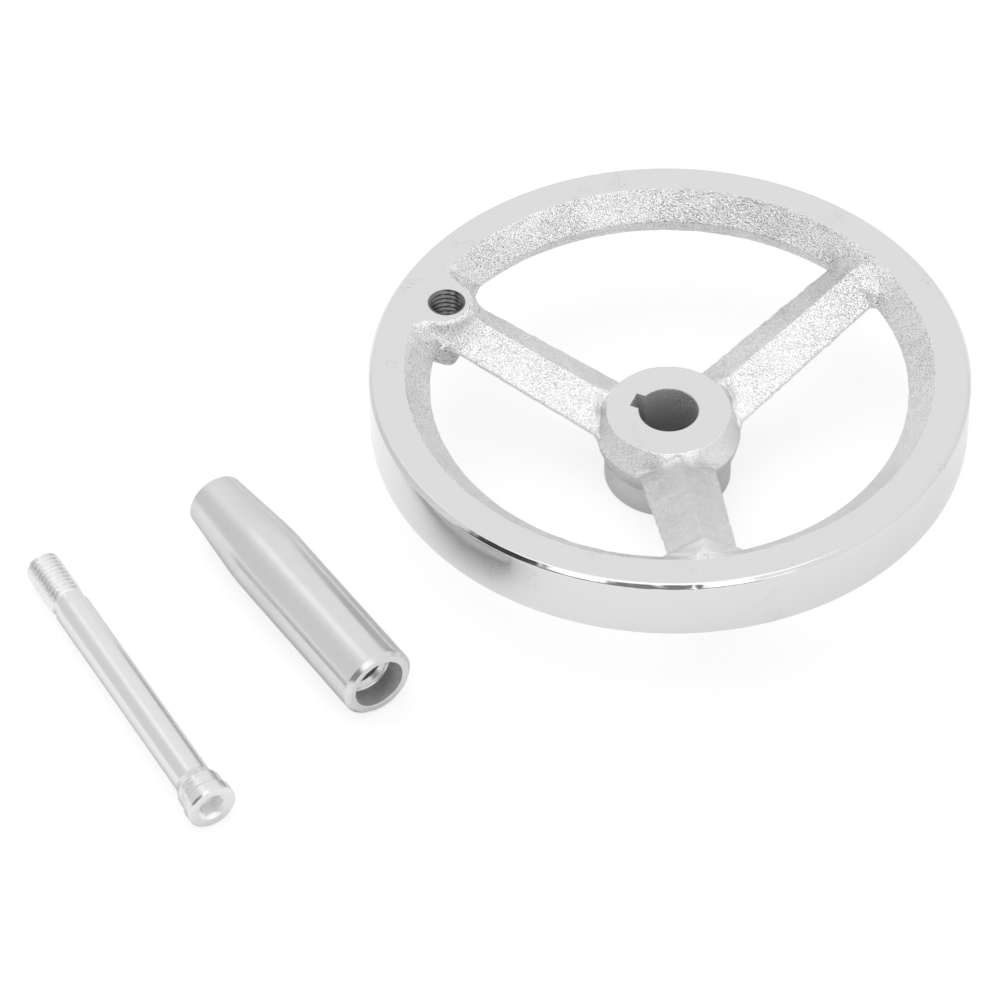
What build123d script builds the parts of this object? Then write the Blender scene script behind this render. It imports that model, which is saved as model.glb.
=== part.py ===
from build123d import *
import math
import os

# A dished three-spoke machine handwheel with its revolving handle taken off. Millimetres.
# The bore axis is Z. The hub's back face, which seats on the machine, is at z = 0, and the
# operator's side faces +Z. The handle's sleeve and spindle lie loose on the same level.
# The wheel is one grey-iron casting: the rim's outer half, the hub's front face, its back
# register and the bore are turned, and everything between is left as cast.

# Rim
RIM_DIAMETER = 160.0
RIM_WIDTH = 18.0
RIM_OFFSET = 21.7             # the rim's back face stands this far in front of the hub's
RIM_EDGE_BREAK = 1.1          # chamfer of the outer front edge
RIM_BACK_BREAK = 0.5
RIM_FACE_WIDTH = 9.5          # turned front face, inwards from the outside
RIM_BACK_WIDTH = 6.0          # back face, inwards from the outside
RIM_PARTING_DEPTH = 16.4      # the casting's sharp parting edge, inwards from the outside
RIM_PARTING_HEIGHT = 11.8     # parting edge above the back face
RIM_KNEE_DEPTH = 12.1         # bend below the parting edge, inwards from the outside
RIM_KNEE_HEIGHT = 4.8

# Hub
HUB_LENGTH = 23.8
HUB_FACE_RADIUS = 16.7
HUB_PARTING_RADIUS = 19.5
HUB_PARTING_HEIGHT = 15.8
HUB_SHOULDER_RADIUS = 18.9    # below the parting edge the flank falls steeply, then turns in
HUB_SHOULDER_HEIGHT = 13.0
REGISTER_RADIUS = 17.15       # turned cylinder at the back of the hub
REGISTER_LENGTH = 8.9
HUB_BACK_BREAK = 0.6
BORE_DIAMETER = 16.0
BORE_BREAK = 0.2              # chamfer at the front face only
KEY_WIDTH = 5.0
KEY_REACH = 10.2              # from the bore axis to the floor of the keyway

# Spokes: a ridged front and a rounded back, leaning forward from the hub to the rim
SPOKES = 3
FIRST_SPOKE_ANGLE = 156.1     # the spoke that carries the handle boss and the keyway
SPOKE_ROOT_HEIGHT = 17.8      # parting edge above the hub's back face, where it leaves the hub
SPOKE_TIP_HEIGHT = 11.8       # parting edge above the rim's back face, where it meets the rim
SPOKE_ROOT_HALF_WIDTH = 10.2
SPOKE_TIP_HALF_WIDTH = 9.0
SPOKE_ROOT_BACK = 3.6         # depth of the rounded back, behind the parting edge
SPOKE_TIP_BACK = 3.1
SPOKE_RIDGE = 5.9             # height of the ridge in front of the parting edge
SPOKE_RIDGE_ROUND = 0.8
SPOKE_RIDGE_SINK = 0.3        # the ridge stays this far under the rim's front face
SPOKE_SIDE_ROUND = 0.8
SPOKE_ROOT_BURY = 3.3         # how far the spoke carries on inside the hub
SPOKE_TIP_BURY = 6.0          # and inside the rim
ROOT_FILLET = 3.0             # plan radius where a spoke's side runs into the hub
TIP_FILLET = 1.2              # and into the rim
FLARE_IN_DEPTH = 0.3          # share of the fillet that also thickens the spoke
FLARE_STEPS = 3

# Handle boss on the rim, and its tapped hole
BOSS_INSET = 13.3             # centre of the boss's face, inwards from the rim's outside
BOSS_FACE_RADIUS = 8.5
BOSS_DRAFT = 12.0
BOSS_DEPTH = 7.0              # the boss meets the spoke this far under the front face
LUG_HALF_WIDTH = 9.4          # squared-off underside of the boss
LUG_INSET = 20.9              # its end wall, inwards from the rim's outside
LUG_CORNER = 2.5
LUG_BACK = 4.0                # its flat underside, above the rim's back face
LUG_DRAFT = 2.0
BOSS_MARGIN = 1.5             # the spoke's plain length ends this far short of the boss
THREAD_DIAMETER = 9.8         # crests of the M10 thread
THREAD_CLEARANCE = 0.1        # radial, at the hole, which is drawn at its major diameter
HOLE_INSET = 15.3             # axis of the hole, inwards from the rim's outside
HOLE_BREAK = 0.25

# Sleeve of the revolving handle
SLEEVE_DIAMETER = 20.2
SLEEVE_LENGTH = 80.7
SLEEVE_SWEEP_CORNER = 56.0    # where the straight side and the tail's slope would meet
SLEEVE_SWEEP_RADIUS = 90.0
SLEEVE_TAIL_RADIUS = 8.05
SLEEVE_MOUTH_BREAK = 1.1
SLEEVE_TAIL_BREAK = 0.4
POCKET_DEPTH = 6.3
SEAT_DEPTH = 1.4              # the conical seat between the pocket and the bore

# Spindle, a socket-head handle screw
SPINDLE_LENGTH = 99.9
SHANK_DIAMETER = 9.8
THREAD_LENGTH = 14.6
NECK_LENGTH = 4.6
NECK_DEPTH = 0.45
THREAD_LEAD = 1.2
HEAD_LENGTH = 10.4            # from the face to the start of the cone on the shank
HEAD_CONE = 2.8
HEAD_RIM_RADIUS = 6.65
HEAD_WAIST_RADIUS = 6.1
HEAD_RIM_LENGTH = 3.2
HEAD_BREAK = 0.5
SOCKET_FLATS = 6.0
SOCKET_DEPTH = 5.0
SOCKET_SINK_RADIUS = 4.0

# Fits of the handle
SLEEVE_CLEARANCE = 0.25       # radial, between shank and sleeve
HEAD_CLEARANCE = 0.5          # radial, between head and pocket

# Where the loose pieces lie: the end of each that points at the viewer, and its heading
SLEEVE_MOUTH_AT = (-77.2, -85.3)
SLEEVE_HEADING = 123.4
SPINDLE_FACE_AT = (-119.2, -123.5)
SPINDLE_HEADING = 118.9


def rim():
    """The rim: a turned outer half and a drafted, as-cast inner half with a parting edge."""
    front = RIM_OFFSET + RIM_WIDTH
    outer = RIM_DIAMETER / 2
    face_inner = (outer - RIM_FACE_WIDTH, front)
    back_inner = (outer - RIM_BACK_WIDTH, RIM_OFFSET)
    knee = (outer - RIM_KNEE_DEPTH, RIM_OFFSET + RIM_KNEE_HEIGHT)
    parting = (outer - RIM_PARTING_DEPTH, RIM_OFFSET + RIM_PARTING_HEIGHT)
    outline = [
        back_inner,
        knee,
        parting,
        face_inner,
        (outer - RIM_EDGE_BREAK, front),
        (outer, front - RIM_EDGE_BREAK),
        (outer, RIM_OFFSET + RIM_BACK_BREAK),
        (outer - RIM_BACK_BREAK, RIM_OFFSET),
    ]
    return turned_solid(outline, Axis.Z)


def hub():
    """The hub: a cast flank that widens to the parting edge, then a turned register."""
    outline = [
        (0, 0),
        (REGISTER_RADIUS - HUB_BACK_BREAK, 0),
        (REGISTER_RADIUS, HUB_BACK_BREAK),
        (REGISTER_RADIUS, REGISTER_LENGTH),
        (HUB_SHOULDER_RADIUS, HUB_SHOULDER_HEIGHT),
        (HUB_PARTING_RADIUS, HUB_PARTING_HEIGHT),
        (HUB_FACE_RADIUS, HUB_LENGTH),
        (0, HUB_LENGTH),
    ]
    return turned_solid(outline, Axis.Z)


def flare(radius, distance):
    """How far a fillet has left the spoke's side, at a distance past the start of its arc."""
    return radius - math.sqrt(radius ** 2 - distance ** 2)


def fillet_centre(distance, side):
    """How far along the spoke a fillet's centre lies, from its distance to the axis."""
    return math.sqrt(distance ** 2 - side ** 2)


def slope_normal(ridge_centre, side_centre):
    """Which way a front slope faces: it touches the ridge's round and the side's from outside."""
    distance = math.hypot(ridge_centre, side_centre)
    fall = math.atan2(-ridge_centre, side_centre)
    return fall + math.acos((SPOKE_RIDGE_ROUND - SPOKE_SIDE_ROUND) / distance)


def spoke_section(reach, spread):
    """The spoke's section at a radius: two slopes up to a ridge, round sides and a round back."""
    parting = RIM_DIAMETER / 2 - RIM_PARTING_DEPTH
    share = (reach - HUB_PARTING_RADIUS) / (parting - HUB_PARTING_RADIUS)
    tip_height = RIM_OFFSET + SPOKE_TIP_HEIGHT
    height = SPOKE_ROOT_HEIGHT + share * (tip_height - SPOKE_ROOT_HEIGHT)
    half_width = SPOKE_ROOT_HALF_WIDTH + share * (SPOKE_TIP_HALF_WIDTH - SPOKE_ROOT_HALF_WIDTH)
    back_depth = SPOKE_ROOT_BACK + share * (SPOKE_TIP_BACK - SPOKE_ROOT_BACK)
    side = half_width + spread
    back = back_depth + FLARE_IN_DEPTH * spread
    room = RIM_OFFSET + RIM_WIDTH - SPOKE_RIDGE_SINK - height
    ridge = min(SPOKE_RIDGE + FLARE_IN_DEPTH * spread, room)
    side_centre = side - SPOKE_SIDE_ROUND
    ridge_centre = ridge - SPOKE_RIDGE_ROUND
    facing = slope_normal(ridge_centre, side_centre)
    crest_across = SPOKE_RIDGE_ROUND * math.cos(facing)
    crest_up = ridge_centre + SPOKE_RIDGE_ROUND * math.sin(facing)
    foot_across = side_centre + SPOKE_SIDE_ROUND * math.cos(facing)
    foot_up = SPOKE_SIDE_ROUND * math.sin(facing)
    back_radius = (side_centre ** 2 + back ** 2 - SPOKE_SIDE_ROUND ** 2) / (2 * (back - SPOKE_SIDE_ROUND))
    lean = math.atan2(back_radius - back, side_centre)
    across = side_centre + SPOKE_SIDE_ROUND * math.cos(lean)
    down = SPOKE_SIDE_ROUND * math.sin(lean)
    with BuildSketch(Plane(origin=(reach, 0, height), x_dir=(0, 1, 0), z_dir=(1, 0, 0))) as section:
        with BuildLine():
            ThreePointArc((crest_across, crest_up), (0, ridge), (-crest_across, crest_up))
            Line((-crest_across, crest_up), (-foot_across, foot_up))
            ThreePointArc((-foot_across, foot_up), (-side, 0), (-across, -down))
            ThreePointArc((-across, -down), (0, -back), (across, -down))
            ThreePointArc((across, -down), (side, 0), (foot_across, foot_up))
            Line((foot_across, foot_up), (crest_across, crest_up))
        make_face()
    return section.sketch


def spoke():
    """One spoke along +X: a ridged bar that leans forward and flares into the hub and the rim."""
    parting = RIM_DIAMETER / 2 - RIM_PARTING_DEPTH
    root_start = fillet_centre(HUB_PARTING_RADIUS + ROOT_FILLET, SPOKE_ROOT_HALF_WIDTH + ROOT_FILLET)
    tip_start = fillet_centre(parting - TIP_FILLET, SPOKE_TIP_HALF_WIDTH + TIP_FILLET)
    root_touch = root_start * HUB_PARTING_RADIUS / (HUB_PARTING_RADIUS + ROOT_FILLET)
    tip_touch = tip_start * parting / (parting - TIP_FILLET)
    joint = RIM_DIAMETER / 2 - LUG_INSET - BOSS_MARGIN
    body = loft([spoke_section(root_start, 0), spoke_section(joint, 0)], ruled=True)
    body = body + loft([spoke_section(joint, 0), spoke_section(tip_start, 0)], ruled=True)
    ends = (
        (ROOT_FILLET, root_start, root_touch, root_touch - SPOKE_ROOT_BURY),
        (TIP_FILLET, tip_start, tip_touch, tip_touch + SPOKE_TIP_BURY),
    )
    for radius, start, touch, buried in ends:
        steps = [start + (touch - start) * i / FLARE_STEPS for i in range(FLARE_STEPS + 1)]
        sections = [spoke_section(reach, flare(radius, reach - start)) for reach in steps]
        inner = spoke_section(buried, flare(radius, touch - start))
        body = body + loft(sections) + loft([sections[-1], inner], ruled=True)
    return body


def handle_boss():
    """The boss along +X: a drafted cone under the front face and a squared lug behind it."""
    outer = RIM_DIAMETER / 2
    front = RIM_OFFSET + RIM_WIDTH
    root = front - BOSS_DEPTH
    spread = BOSS_DEPTH * math.tan(math.radians(BOSS_DRAFT))
    lug_start = RIM_OFFSET + LUG_BACK
    lug_length = LUG_INSET - RIM_FACE_WIDTH
    with BuildPart() as part:
        with Locations((outer - BOSS_INSET, 0, root)):
            Cone(BOSS_FACE_RADIUS + spread, BOSS_FACE_RADIUS, BOSS_DEPTH,
                 align=(Align.CENTER, Align.CENTER, Align.MIN))
        with BuildSketch(Plane.XY.offset(lug_start)):
            with Locations((outer - LUG_INSET + lug_length / 2, 0)):
                RectangleRounded(lug_length, 2 * LUG_HALF_WIDTH, LUG_CORNER)
        extrude(amount=root - lug_start, taper=-LUG_DRAFT)
    return part.part


def turned_to(shape, angle):
    """A feature that was drawn along +X, turned to its place on the wheel."""
    return Rot(0, 0, angle) * shape


def wheel():
    """The wheel casting with its turned, slotted and tapped openings."""
    body = rim() + hub()
    for i in range(SPOKES):
        body = body + turned_to(spoke(), FIRST_SPOKE_ANGLE + i * 360 / SPOKES)
    body = body + turned_to(handle_boss(), FIRST_SPOKE_ANGLE)
    for opening in (keyway(), tapped_hole()):
        body = body - turned_to(opening, FIRST_SPOKE_ANGLE)
    return body - bore()


def bore():
    """The bore, with its edge broken at the hub's front face."""
    radius = BORE_DIAMETER / 2
    outline = [
        (0, 0),
        (radius, 0),
        (radius, HUB_LENGTH - BORE_BREAK),
        (radius + BORE_BREAK, HUB_LENGTH),
        (0, HUB_LENGTH),
    ]
    return turned_solid(outline, Axis.Z)


def keyway():
    """The parallel keyway, cut the full length of the bore."""
    with BuildPart() as part:
        Box(KEY_REACH, KEY_WIDTH, HUB_LENGTH, align=(Align.MIN, Align.CENTER, Align.MIN))
    return part.part


def tapped_hole():
    """The handle's hole, through the boss."""
    reach = RIM_DIAMETER / 2 - HOLE_INSET
    front = RIM_OFFSET + RIM_WIDTH
    radius = THREAD_DIAMETER / 2 + THREAD_CLEARANCE
    with BuildPart() as part:
        with Locations((reach, 0, RIM_OFFSET)):
            Cylinder(radius, RIM_WIDTH, align=(Align.CENTER, Align.CENTER, Align.MIN))
        with Locations((reach, 0, front)):
            Cone(radius, radius + HOLE_BREAK, HOLE_BREAK, align=(Align.CENTER, Align.CENTER, Align.MAX))
    return part.part


def turned_solid(outline, axis):
    """A closed outline, drawn in the XZ plane, revolved about one of that plane's axes."""
    with BuildPart() as part:
        with BuildSketch(Plane.XZ):
            with BuildLine():
                Polyline(*outline, close=True)
            make_face()
        revolve(axis=axis)
    return part.part


def sleeve():
    """The handle's sleeve along +X: straight, then swept in to a smaller tail."""
    radius = SLEEVE_DIAMETER / 2
    hole = SHANK_DIAMETER / 2 + SLEEVE_CLEARANCE
    pocket = HEAD_RIM_RADIUS + HEAD_CLEARANCE
    shoulder = (SLEEVE_MOUTH_BREAK, radius)
    corner = (SLEEVE_SWEEP_CORNER, radius)
    tail = (SLEEVE_LENGTH, SLEEVE_TAIL_RADIUS - SLEEVE_TAIL_BREAK)
    tail_start = (SLEEVE_LENGTH - SLEEVE_TAIL_BREAK, SLEEVE_TAIL_RADIUS)
    inside = [
        tail,
        (SLEEVE_LENGTH, hole),
        (POCKET_DEPTH + SEAT_DEPTH, hole),
        (POCKET_DEPTH, pocket),
        (0, pocket),
        (0, radius - SLEEVE_MOUTH_BREAK),
        shoulder,
    ]
    with BuildPart() as part:
        with BuildSketch(Plane.XZ):
            with BuildLine():
                FilletPolyline(shoulder, corner, tail_start, radius=SLEEVE_SWEEP_RADIUS)
                Line(tail_start, tail)
                Polyline(*inside)
            make_face()
        revolve(axis=Axis.X)
    return part.part


def spindle():
    """The socket-head spindle along +X: head, shank, neck and threaded end."""
    shank = SHANK_DIAMETER / 2
    thread = THREAD_DIAMETER / 2
    thread_start = SPINDLE_LENGTH - THREAD_LENGTH
    outline = [
        (0, 0),
        (0, HEAD_RIM_RADIUS - HEAD_BREAK),
        (HEAD_BREAK, HEAD_RIM_RADIUS),
        (HEAD_RIM_LENGTH, HEAD_RIM_RADIUS),
        (HEAD_RIM_LENGTH + HEAD_RIM_RADIUS - HEAD_WAIST_RADIUS, HEAD_WAIST_RADIUS),
        (HEAD_LENGTH - HEAD_CONE, HEAD_WAIST_RADIUS),
        (HEAD_LENGTH, shank),
        (thread_start - NECK_LENGTH, shank),
        (thread_start - NECK_LENGTH, shank - NECK_DEPTH),
        (thread_start, shank - NECK_DEPTH),
        (thread_start, thread),
        (SPINDLE_LENGTH - THREAD_LEAD, thread),
        (SPINDLE_LENGTH, thread - THREAD_LEAD),
        (SPINDLE_LENGTH, 0),
    ]
    sink_depth = SOCKET_SINK_RADIUS - SOCKET_FLATS / 2
    with BuildPart() as part:
        add(turned_solid(outline, Axis.X))
        with BuildSketch(Plane.YZ):
            RegularPolygon(SOCKET_FLATS / 2, 6, major_radius=False)
        extrude(amount=SOCKET_DEPTH, mode=Mode.SUBTRACT)
        with Locations(Plane.YZ):
            Cone(SOCKET_SINK_RADIUS, SOCKET_FLATS / 2, sink_depth,
                 align=(Align.CENTER, Align.CENTER, Align.MIN), mode=Mode.SUBTRACT)
    return part.part


def lying_sleeve():
    """The sleeve where it lies, level on its straight part."""
    place = Pos(*SLEEVE_MOUTH_AT, SLEEVE_DIAMETER / 2) * Rot(0, 0, SLEEVE_HEADING)
    return place * sleeve()


def lying_spindle():
    """The spindle where it lies, on the back edge of its head and the end of its thread."""
    thread = THREAD_DIAMETER / 2
    span = SPINDLE_LENGTH - THREAD_LEAD - HEAD_RIM_LENGTH
    dip = math.atan2(HEAD_RIM_RADIUS - thread, span)
    height = HEAD_RIM_LENGTH * math.sin(dip) + HEAD_RIM_RADIUS * math.cos(dip)
    place = Pos(*SPINDLE_FACE_AT, height) * Rot(0, 0, SPINDLE_HEADING) * Rot(0, math.degrees(dip), 0)
    return place * spindle()


def main():
    """Write each piece to its own STEP file, in place."""
    os.makedirs("parts", exist_ok=True)
    pieces = {
        "handwheel": wheel(),
        "handle_sleeve": lying_sleeve(),
        "handle_spindle": lying_spindle(),
    }
    for name, shape in pieces.items():
        box = shape.bounding_box()
        print(name, len(shape.solids()), shape.is_valid, round(shape.volume, 1), box.min, box.max)
        export_step(shape, f"parts/{name}.step")


if __name__ == "__main__":
    main()
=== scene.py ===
# %% [markdown]
# # A machine handwheel and its revolving handle
# The wheel is one plated iron casting. Its rim, its hub's faces and its register are turned
# bright, and the rest is left as it came from the sand. The handle's sleeve and spindle lie
# beside it.
# Every piece is a surface worked out as one array of points, in millimetres, and then written
# into a mesh in metres, in the same frame as the solids that it stands for.

# %% Load the fixed frame
import math
import bpy
import numpy as np
from mathutils import Matrix


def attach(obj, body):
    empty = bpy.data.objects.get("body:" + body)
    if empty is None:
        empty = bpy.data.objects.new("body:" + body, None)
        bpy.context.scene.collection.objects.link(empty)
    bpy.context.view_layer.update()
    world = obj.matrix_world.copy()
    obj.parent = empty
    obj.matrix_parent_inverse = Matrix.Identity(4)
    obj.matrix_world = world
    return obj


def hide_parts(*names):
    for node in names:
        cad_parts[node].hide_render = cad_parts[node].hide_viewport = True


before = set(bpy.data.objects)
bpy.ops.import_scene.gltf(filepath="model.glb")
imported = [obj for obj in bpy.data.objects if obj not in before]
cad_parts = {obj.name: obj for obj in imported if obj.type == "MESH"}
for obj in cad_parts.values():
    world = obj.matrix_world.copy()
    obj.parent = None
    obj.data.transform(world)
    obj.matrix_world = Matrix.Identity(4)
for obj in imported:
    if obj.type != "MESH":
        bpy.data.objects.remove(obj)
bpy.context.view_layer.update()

print("frame holds", sorted(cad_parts))

# %% [markdown]
# ## From a grid of points to a mesh
# A turned piece is a profile carried round an axis, and a spoke is a section carried along a
# line. Both are grids: one parameter runs along the rows and one along the columns. Such a grid
# could be built face by face in a loop, but whole arrays are shorter and much faster. Each strip
# between two rows is given a zone number, which becomes its material.

# %% Grid helpers
MM = 0.001
SHARP_ANGLE = math.radians(28.0)


def grid_faces(rows, cols, close_rows, start):
    """Quads between neighbouring points: columns always close, rows close if asked."""
    index = start + np.arange(rows * cols).reshape(rows, cols)
    below = np.roll(index, -1, axis=0) if close_rows else index[1:]
    above = index if close_rows else index[:-1]
    quads = [above, below, np.roll(below, -1, axis=1), np.roll(above, -1, axis=1)]
    return np.stack(quads, axis=-1).reshape(-1, 4)


def make_piece(name, grids, materials):
    """One mesh from several grids, each a tuple of points, a zone for each strip, and whether
    the last row joins the first."""
    points, faces, zones, start = [], [], [], 0
    for surface, strip_zone, close_rows in grids:
        rows, cols = surface.shape[:2]
        strips = rows if close_rows else rows - 1
        points.append(surface.reshape(-1, 3) * MM)
        faces.append(grid_faces(rows, cols, close_rows, start))
        zones.append(np.repeat(strip_zone[:strips], cols))
        start += rows * cols
    points, faces, zones = np.vstack(points), np.vstack(faces), np.concatenate(zones)
    mesh = bpy.data.meshes.new(name)
    mesh.vertices.add(len(points))
    mesh.vertices.foreach_set("co", points.ravel())
    mesh.loops.add(faces.size)
    mesh.loops.foreach_set("vertex_index", faces.ravel())
    mesh.polygons.add(len(faces))
    mesh.polygons.foreach_set("loop_start", np.arange(0, faces.size, 4))
    mesh.polygons.foreach_set("material_index", zones.astype(np.int32))
    for material in materials:
        mesh.materials.append(material)
    mesh.update(calc_edges=True)
    mesh.validate()
    mesh.shade_smooth()
    mesh.set_sharp_from_angle(angle=SHARP_ANGLE)
    piece = bpy.data.objects.new(name, mesh)
    bpy.context.scene.collection.objects.link(piece)
    print(name, "has", len(mesh.polygons), "faces")
    return piece


print("edges sharper than", round(math.degrees(SHARP_ANGLE)), "degrees stay sharp")

# %% [markdown]
# ### Three small tools
# Surfaces are pushed in and out along their normals, sizes change evenly over a length, and what
# is worked out along X is turned to its place round the wheel. All three work on whole arrays. The
# mesh could give the normals, but the surfaces are shaped before there is a mesh.

# %% Normals, ramps and turns
def outward_normals(surface, close_rows, outward):
    """Unit normals of a grid: the cross product of its steps along rows and along columns, turned
    to the side that the outward vectors point to."""
    if close_rows:
        down = np.roll(surface, -1, axis=0) - np.roll(surface, 1, axis=0)
    else:
        down = np.gradient(surface, axis=0)
    across = np.roll(surface, -1, axis=1) - np.roll(surface, 1, axis=1)
    normals = np.cross(down, across)
    normals /= np.maximum(np.linalg.norm(normals, axis=-1, keepdims=True), 1e-9)
    return normals * np.sign(np.sum(normals * outward, axis=-1, keepdims=True) + 1e-9)


def ramp(value, length):
    """Grows evenly from 0 to 1 while the value goes from 0 to the length, and is held outside."""
    return np.clip(value / length, 0, 1)


def turned_points(points, angle):
    """Points turned about the Z axis."""
    c, s = math.cos(angle), math.sin(angle)
    return points @ np.array([[c, s, 0], [-s, c, 0], [0, 0, 1]])


print("X turned by 90 degrees is", turned_points(np.array([1.0, 0.0, 0.0]), math.pi / 2).round(3))

# %% [markdown]
# ## Profiles with small rounds
# No real edge is perfectly sharp, and on bright metal the tiny round on an edge is what catches
# the light. So each profile is written as corners with radii, and this helper walks along it,
# puts an arc at each corner, and sets points on the straight runs at a chosen spacing. The
# corners could be bevelled on the finished mesh, but then every edge would get the same round.

# %% Rounded profile
def rounded_profile(corners, closed=True, arc_points=4):
    """Points along a profile. Each corner is (radius, height, round, spacing, zone): the arc at
    the corner touches both its sides, and spacing and zone belong to the run that follows."""
    corner = np.array([c[:2] for c in corners], float)
    count = len(corner)
    arcs = []
    for i in range(count):
        here, rounding = corner[i], corners[i][2]
        if rounding == 0 or (not closed and i in (0, count - 1)):
            arcs.append(here[None])
            continue
        back = corner[i - 1] - here
        ahead = corner[(i + 1) % count] - here
        back, ahead = back / np.linalg.norm(back), ahead / np.linalg.norm(ahead)
        half = 0.5 * math.acos(np.clip(np.dot(back, ahead), -1, 1))
        touch = rounding / math.tan(half)
        centre = here + (back + ahead) / np.linalg.norm(back + ahead) * rounding / math.sin(half)
        first, last = here + back * touch - centre, here + ahead * touch - centre
        turn = math.atan2(first[0] * last[1] - first[1] * last[0], np.dot(first, last))
        angles = np.linspace(0, turn, arc_points)[:, None]
        swept = first * np.cos(angles) + np.array([-first[1], first[0]]) * np.sin(angles)
        arcs.append(centre + swept)
    points, zones = [], []
    for i in range(count if closed else count - 1):
        spacing, zone = corners[i][3:]
        start, end = arcs[i][-1], arcs[(i + 1) % count][0]
        steps = max(1, int(round(np.linalg.norm(end - start) / spacing)))
        share = np.linspace(0, 1, steps + 1)[1:-1, None]
        run = start + (end - start) * share
        points += [arcs[i], run]
        zones += [corners[i - 1][4]] * (len(arcs[i]) - 1) + [zone] * (len(run) + 1)
    if not closed:
        points.append(arcs[-1])
        zones.append(corners[-2][4])
    return np.vstack(points), np.array(zones)


def lathe(profile, angles):
    """A profile of (radius, height) carried round the Z axis: rows follow it, columns turn."""
    radius, height = profile[:, 0, None], profile[:, 1, None]
    turn = angles[None, :]
    flat = np.broadcast_to(height, (len(profile), len(angles)))
    return np.stack([radius * np.cos(turn), radius * np.sin(turn), flat], axis=-1)


def from_ring(points, radius, height):
    """Vectors that lead to the points from the nearest place on a ring round the Z axis."""
    flat = points[..., :2] / np.linalg.norm(points[..., :2], axis=-1, keepdims=True) * radius
    return points - np.concatenate([flat, 0 * points[..., 2:] + height], axis=-1)


square, _ = rounded_profile([(0, 0, 1, 4, 0), (9, 0, 1, 4, 0), (9, 9, 1, 4, 0), (0, 9, 1, 4, 0)])
print("a square with four rounds takes", len(square), "points")

# %% [markdown]
# ## The foundry's touch
# A sand casting is never quite even. A field of many long waves in random directions, added up,
# swells and sinks a little under the skin, and it is measured at each point in space, so pieces
# that meet swell together. Where two forms meet, the patternmaker leaves a soft hollow. It could
# be made by remeshing all the pieces into one, but that would blur the turned edges. Instead each
# of the two surfaces rises as it comes near the other, just so far that they touch without a
# crease.

# %% Swell and blends
rng = np.random.default_rng(7)


def wave_field(longest, shortest, count):
    """Directions, wave numbers and phases of a sum of waves between two wavelengths, in mm."""
    direction = rng.normal(size=(count, 3))
    direction /= np.linalg.norm(direction, axis=1, keepdims=True)
    length = np.exp(rng.uniform(math.log(shortest), math.log(longest), count))
    return direction * (2 * math.pi / length)[:, None], rng.uniform(0, 2 * math.pi, count)


SWELL = wave_field(14.0, 3.5, 40)
LUMPS = wave_field(3.0, 1.5, 60)
RAGGED = wave_field(7.0, 2.0, 50)
SWELL_HEIGHT, LUMP_HEIGHT = 0.045, 0.010
SETTLING_ROUNDS = 8


def field(points, waves):
    """The waves' sum at each point, divided so that it stays mostly between -1 and 1."""
    vectors, phases = waves
    total = np.zeros(points.shape[:-1])
    for vector, phase in zip(vectors, phases):
        total += np.cos(points @ vector + phase)
    return total / math.sqrt(len(phases))


def lifted(surface, normals, neighbours, weight, share=1.0):
    """The surface moved out along its normals, by the casting's swell and to meet its neighbours
    in a hollow. A point rises by t = (reach - |t - d|) squared over four times the reach, where d
    is its distance to the neighbour once it has risen, so this is repeated until it settles.
    Each neighbour is given as two functions of place: its distance, and the hollow's reach. Rim,
    hub and boss take a little less than their share, so the spoke's skin is the one on top."""
    lift = np.zeros(surface.shape[:-1])
    for distance, reach in neighbours:
        rise = np.zeros(surface.shape[:-1])
        for _ in range(SETTLING_ROUNDS):
            moved = surface + normals * rise[..., None]
            width = reach(moved)
            rise = np.clip(width - np.abs(rise - distance(moved)), 0, None) ** 2 / (4 * width)
        lift = np.maximum(lift, rise)
    moved = surface + normals * lift[..., None]
    lift = lift * share + SWELL_HEIGHT * field(moved, SWELL) + LUMP_HEIGHT * field(moved, LUMPS)
    return surface + normals * (lift * weight)[..., None]


print("waves in the three fields:", [len(waves[1]) for waves in (SWELL, LUMPS, RAGGED)])

# %% [markdown]
# ## The sizes
# These are the solids' own sizes, written again in millimetres, because this file reads nothing
# but the frame. The bore's axis is Z and the hub's back face is at height zero. The wheel's rim
# stands further forward than its hub, which is what makes it a dished wheel.

# %% Sizes and the profiles of rim and hub
RIM_RADIUS, RIM_BACK, RIM_FRONT, RIM_CHAMFER = 80.0, 21.7, 39.7, 1.1
RIM_INSIDE_FRONT, RIM_INSIDE_BACK = 70.5, 74.0
WALL_BEND, WALL_BEND_UP = 67.9, RIM_BACK + 4.8
PARTING_RIM, PARTING_RIM_UP = 63.6, RIM_BACK + 11.8
PARTING_HUB, PARTING_HUB_UP = 19.5, 15.8
HUB_FRONT, HUB_FACE_RADIUS, FACE_INSIDE = 23.8, 16.7, 11.0
REGISTER_RADIUS, REGISTER_TOP, REGISTER_CHAMFER = 17.15, 8.9, 0.6
BORE_RADIUS, BORE_CHAMFER = 8.0, 0.2
KEYWAY_HALF, KEYWAY_FLOOR = 2.5, 10.2
SPOKE_ANGLES = np.radians([156.1, 276.1, 36.1])
HOLE_REACH, BOSS_REACH, BOSS_HEART = 64.7, 66.7, 61.0
# Zones 3 and 4 are cast and turned metal painted darker, a painted shade on the hub's register and
# band and on the lug under the boss. On the sleeve, zone 3 is the seat.
TURNED, CAST, BORED, PAINTED_SHADE_AND_SEAT, PAINTED_SHADE_TURNED = 0, 1, 2, 3, 4

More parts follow.
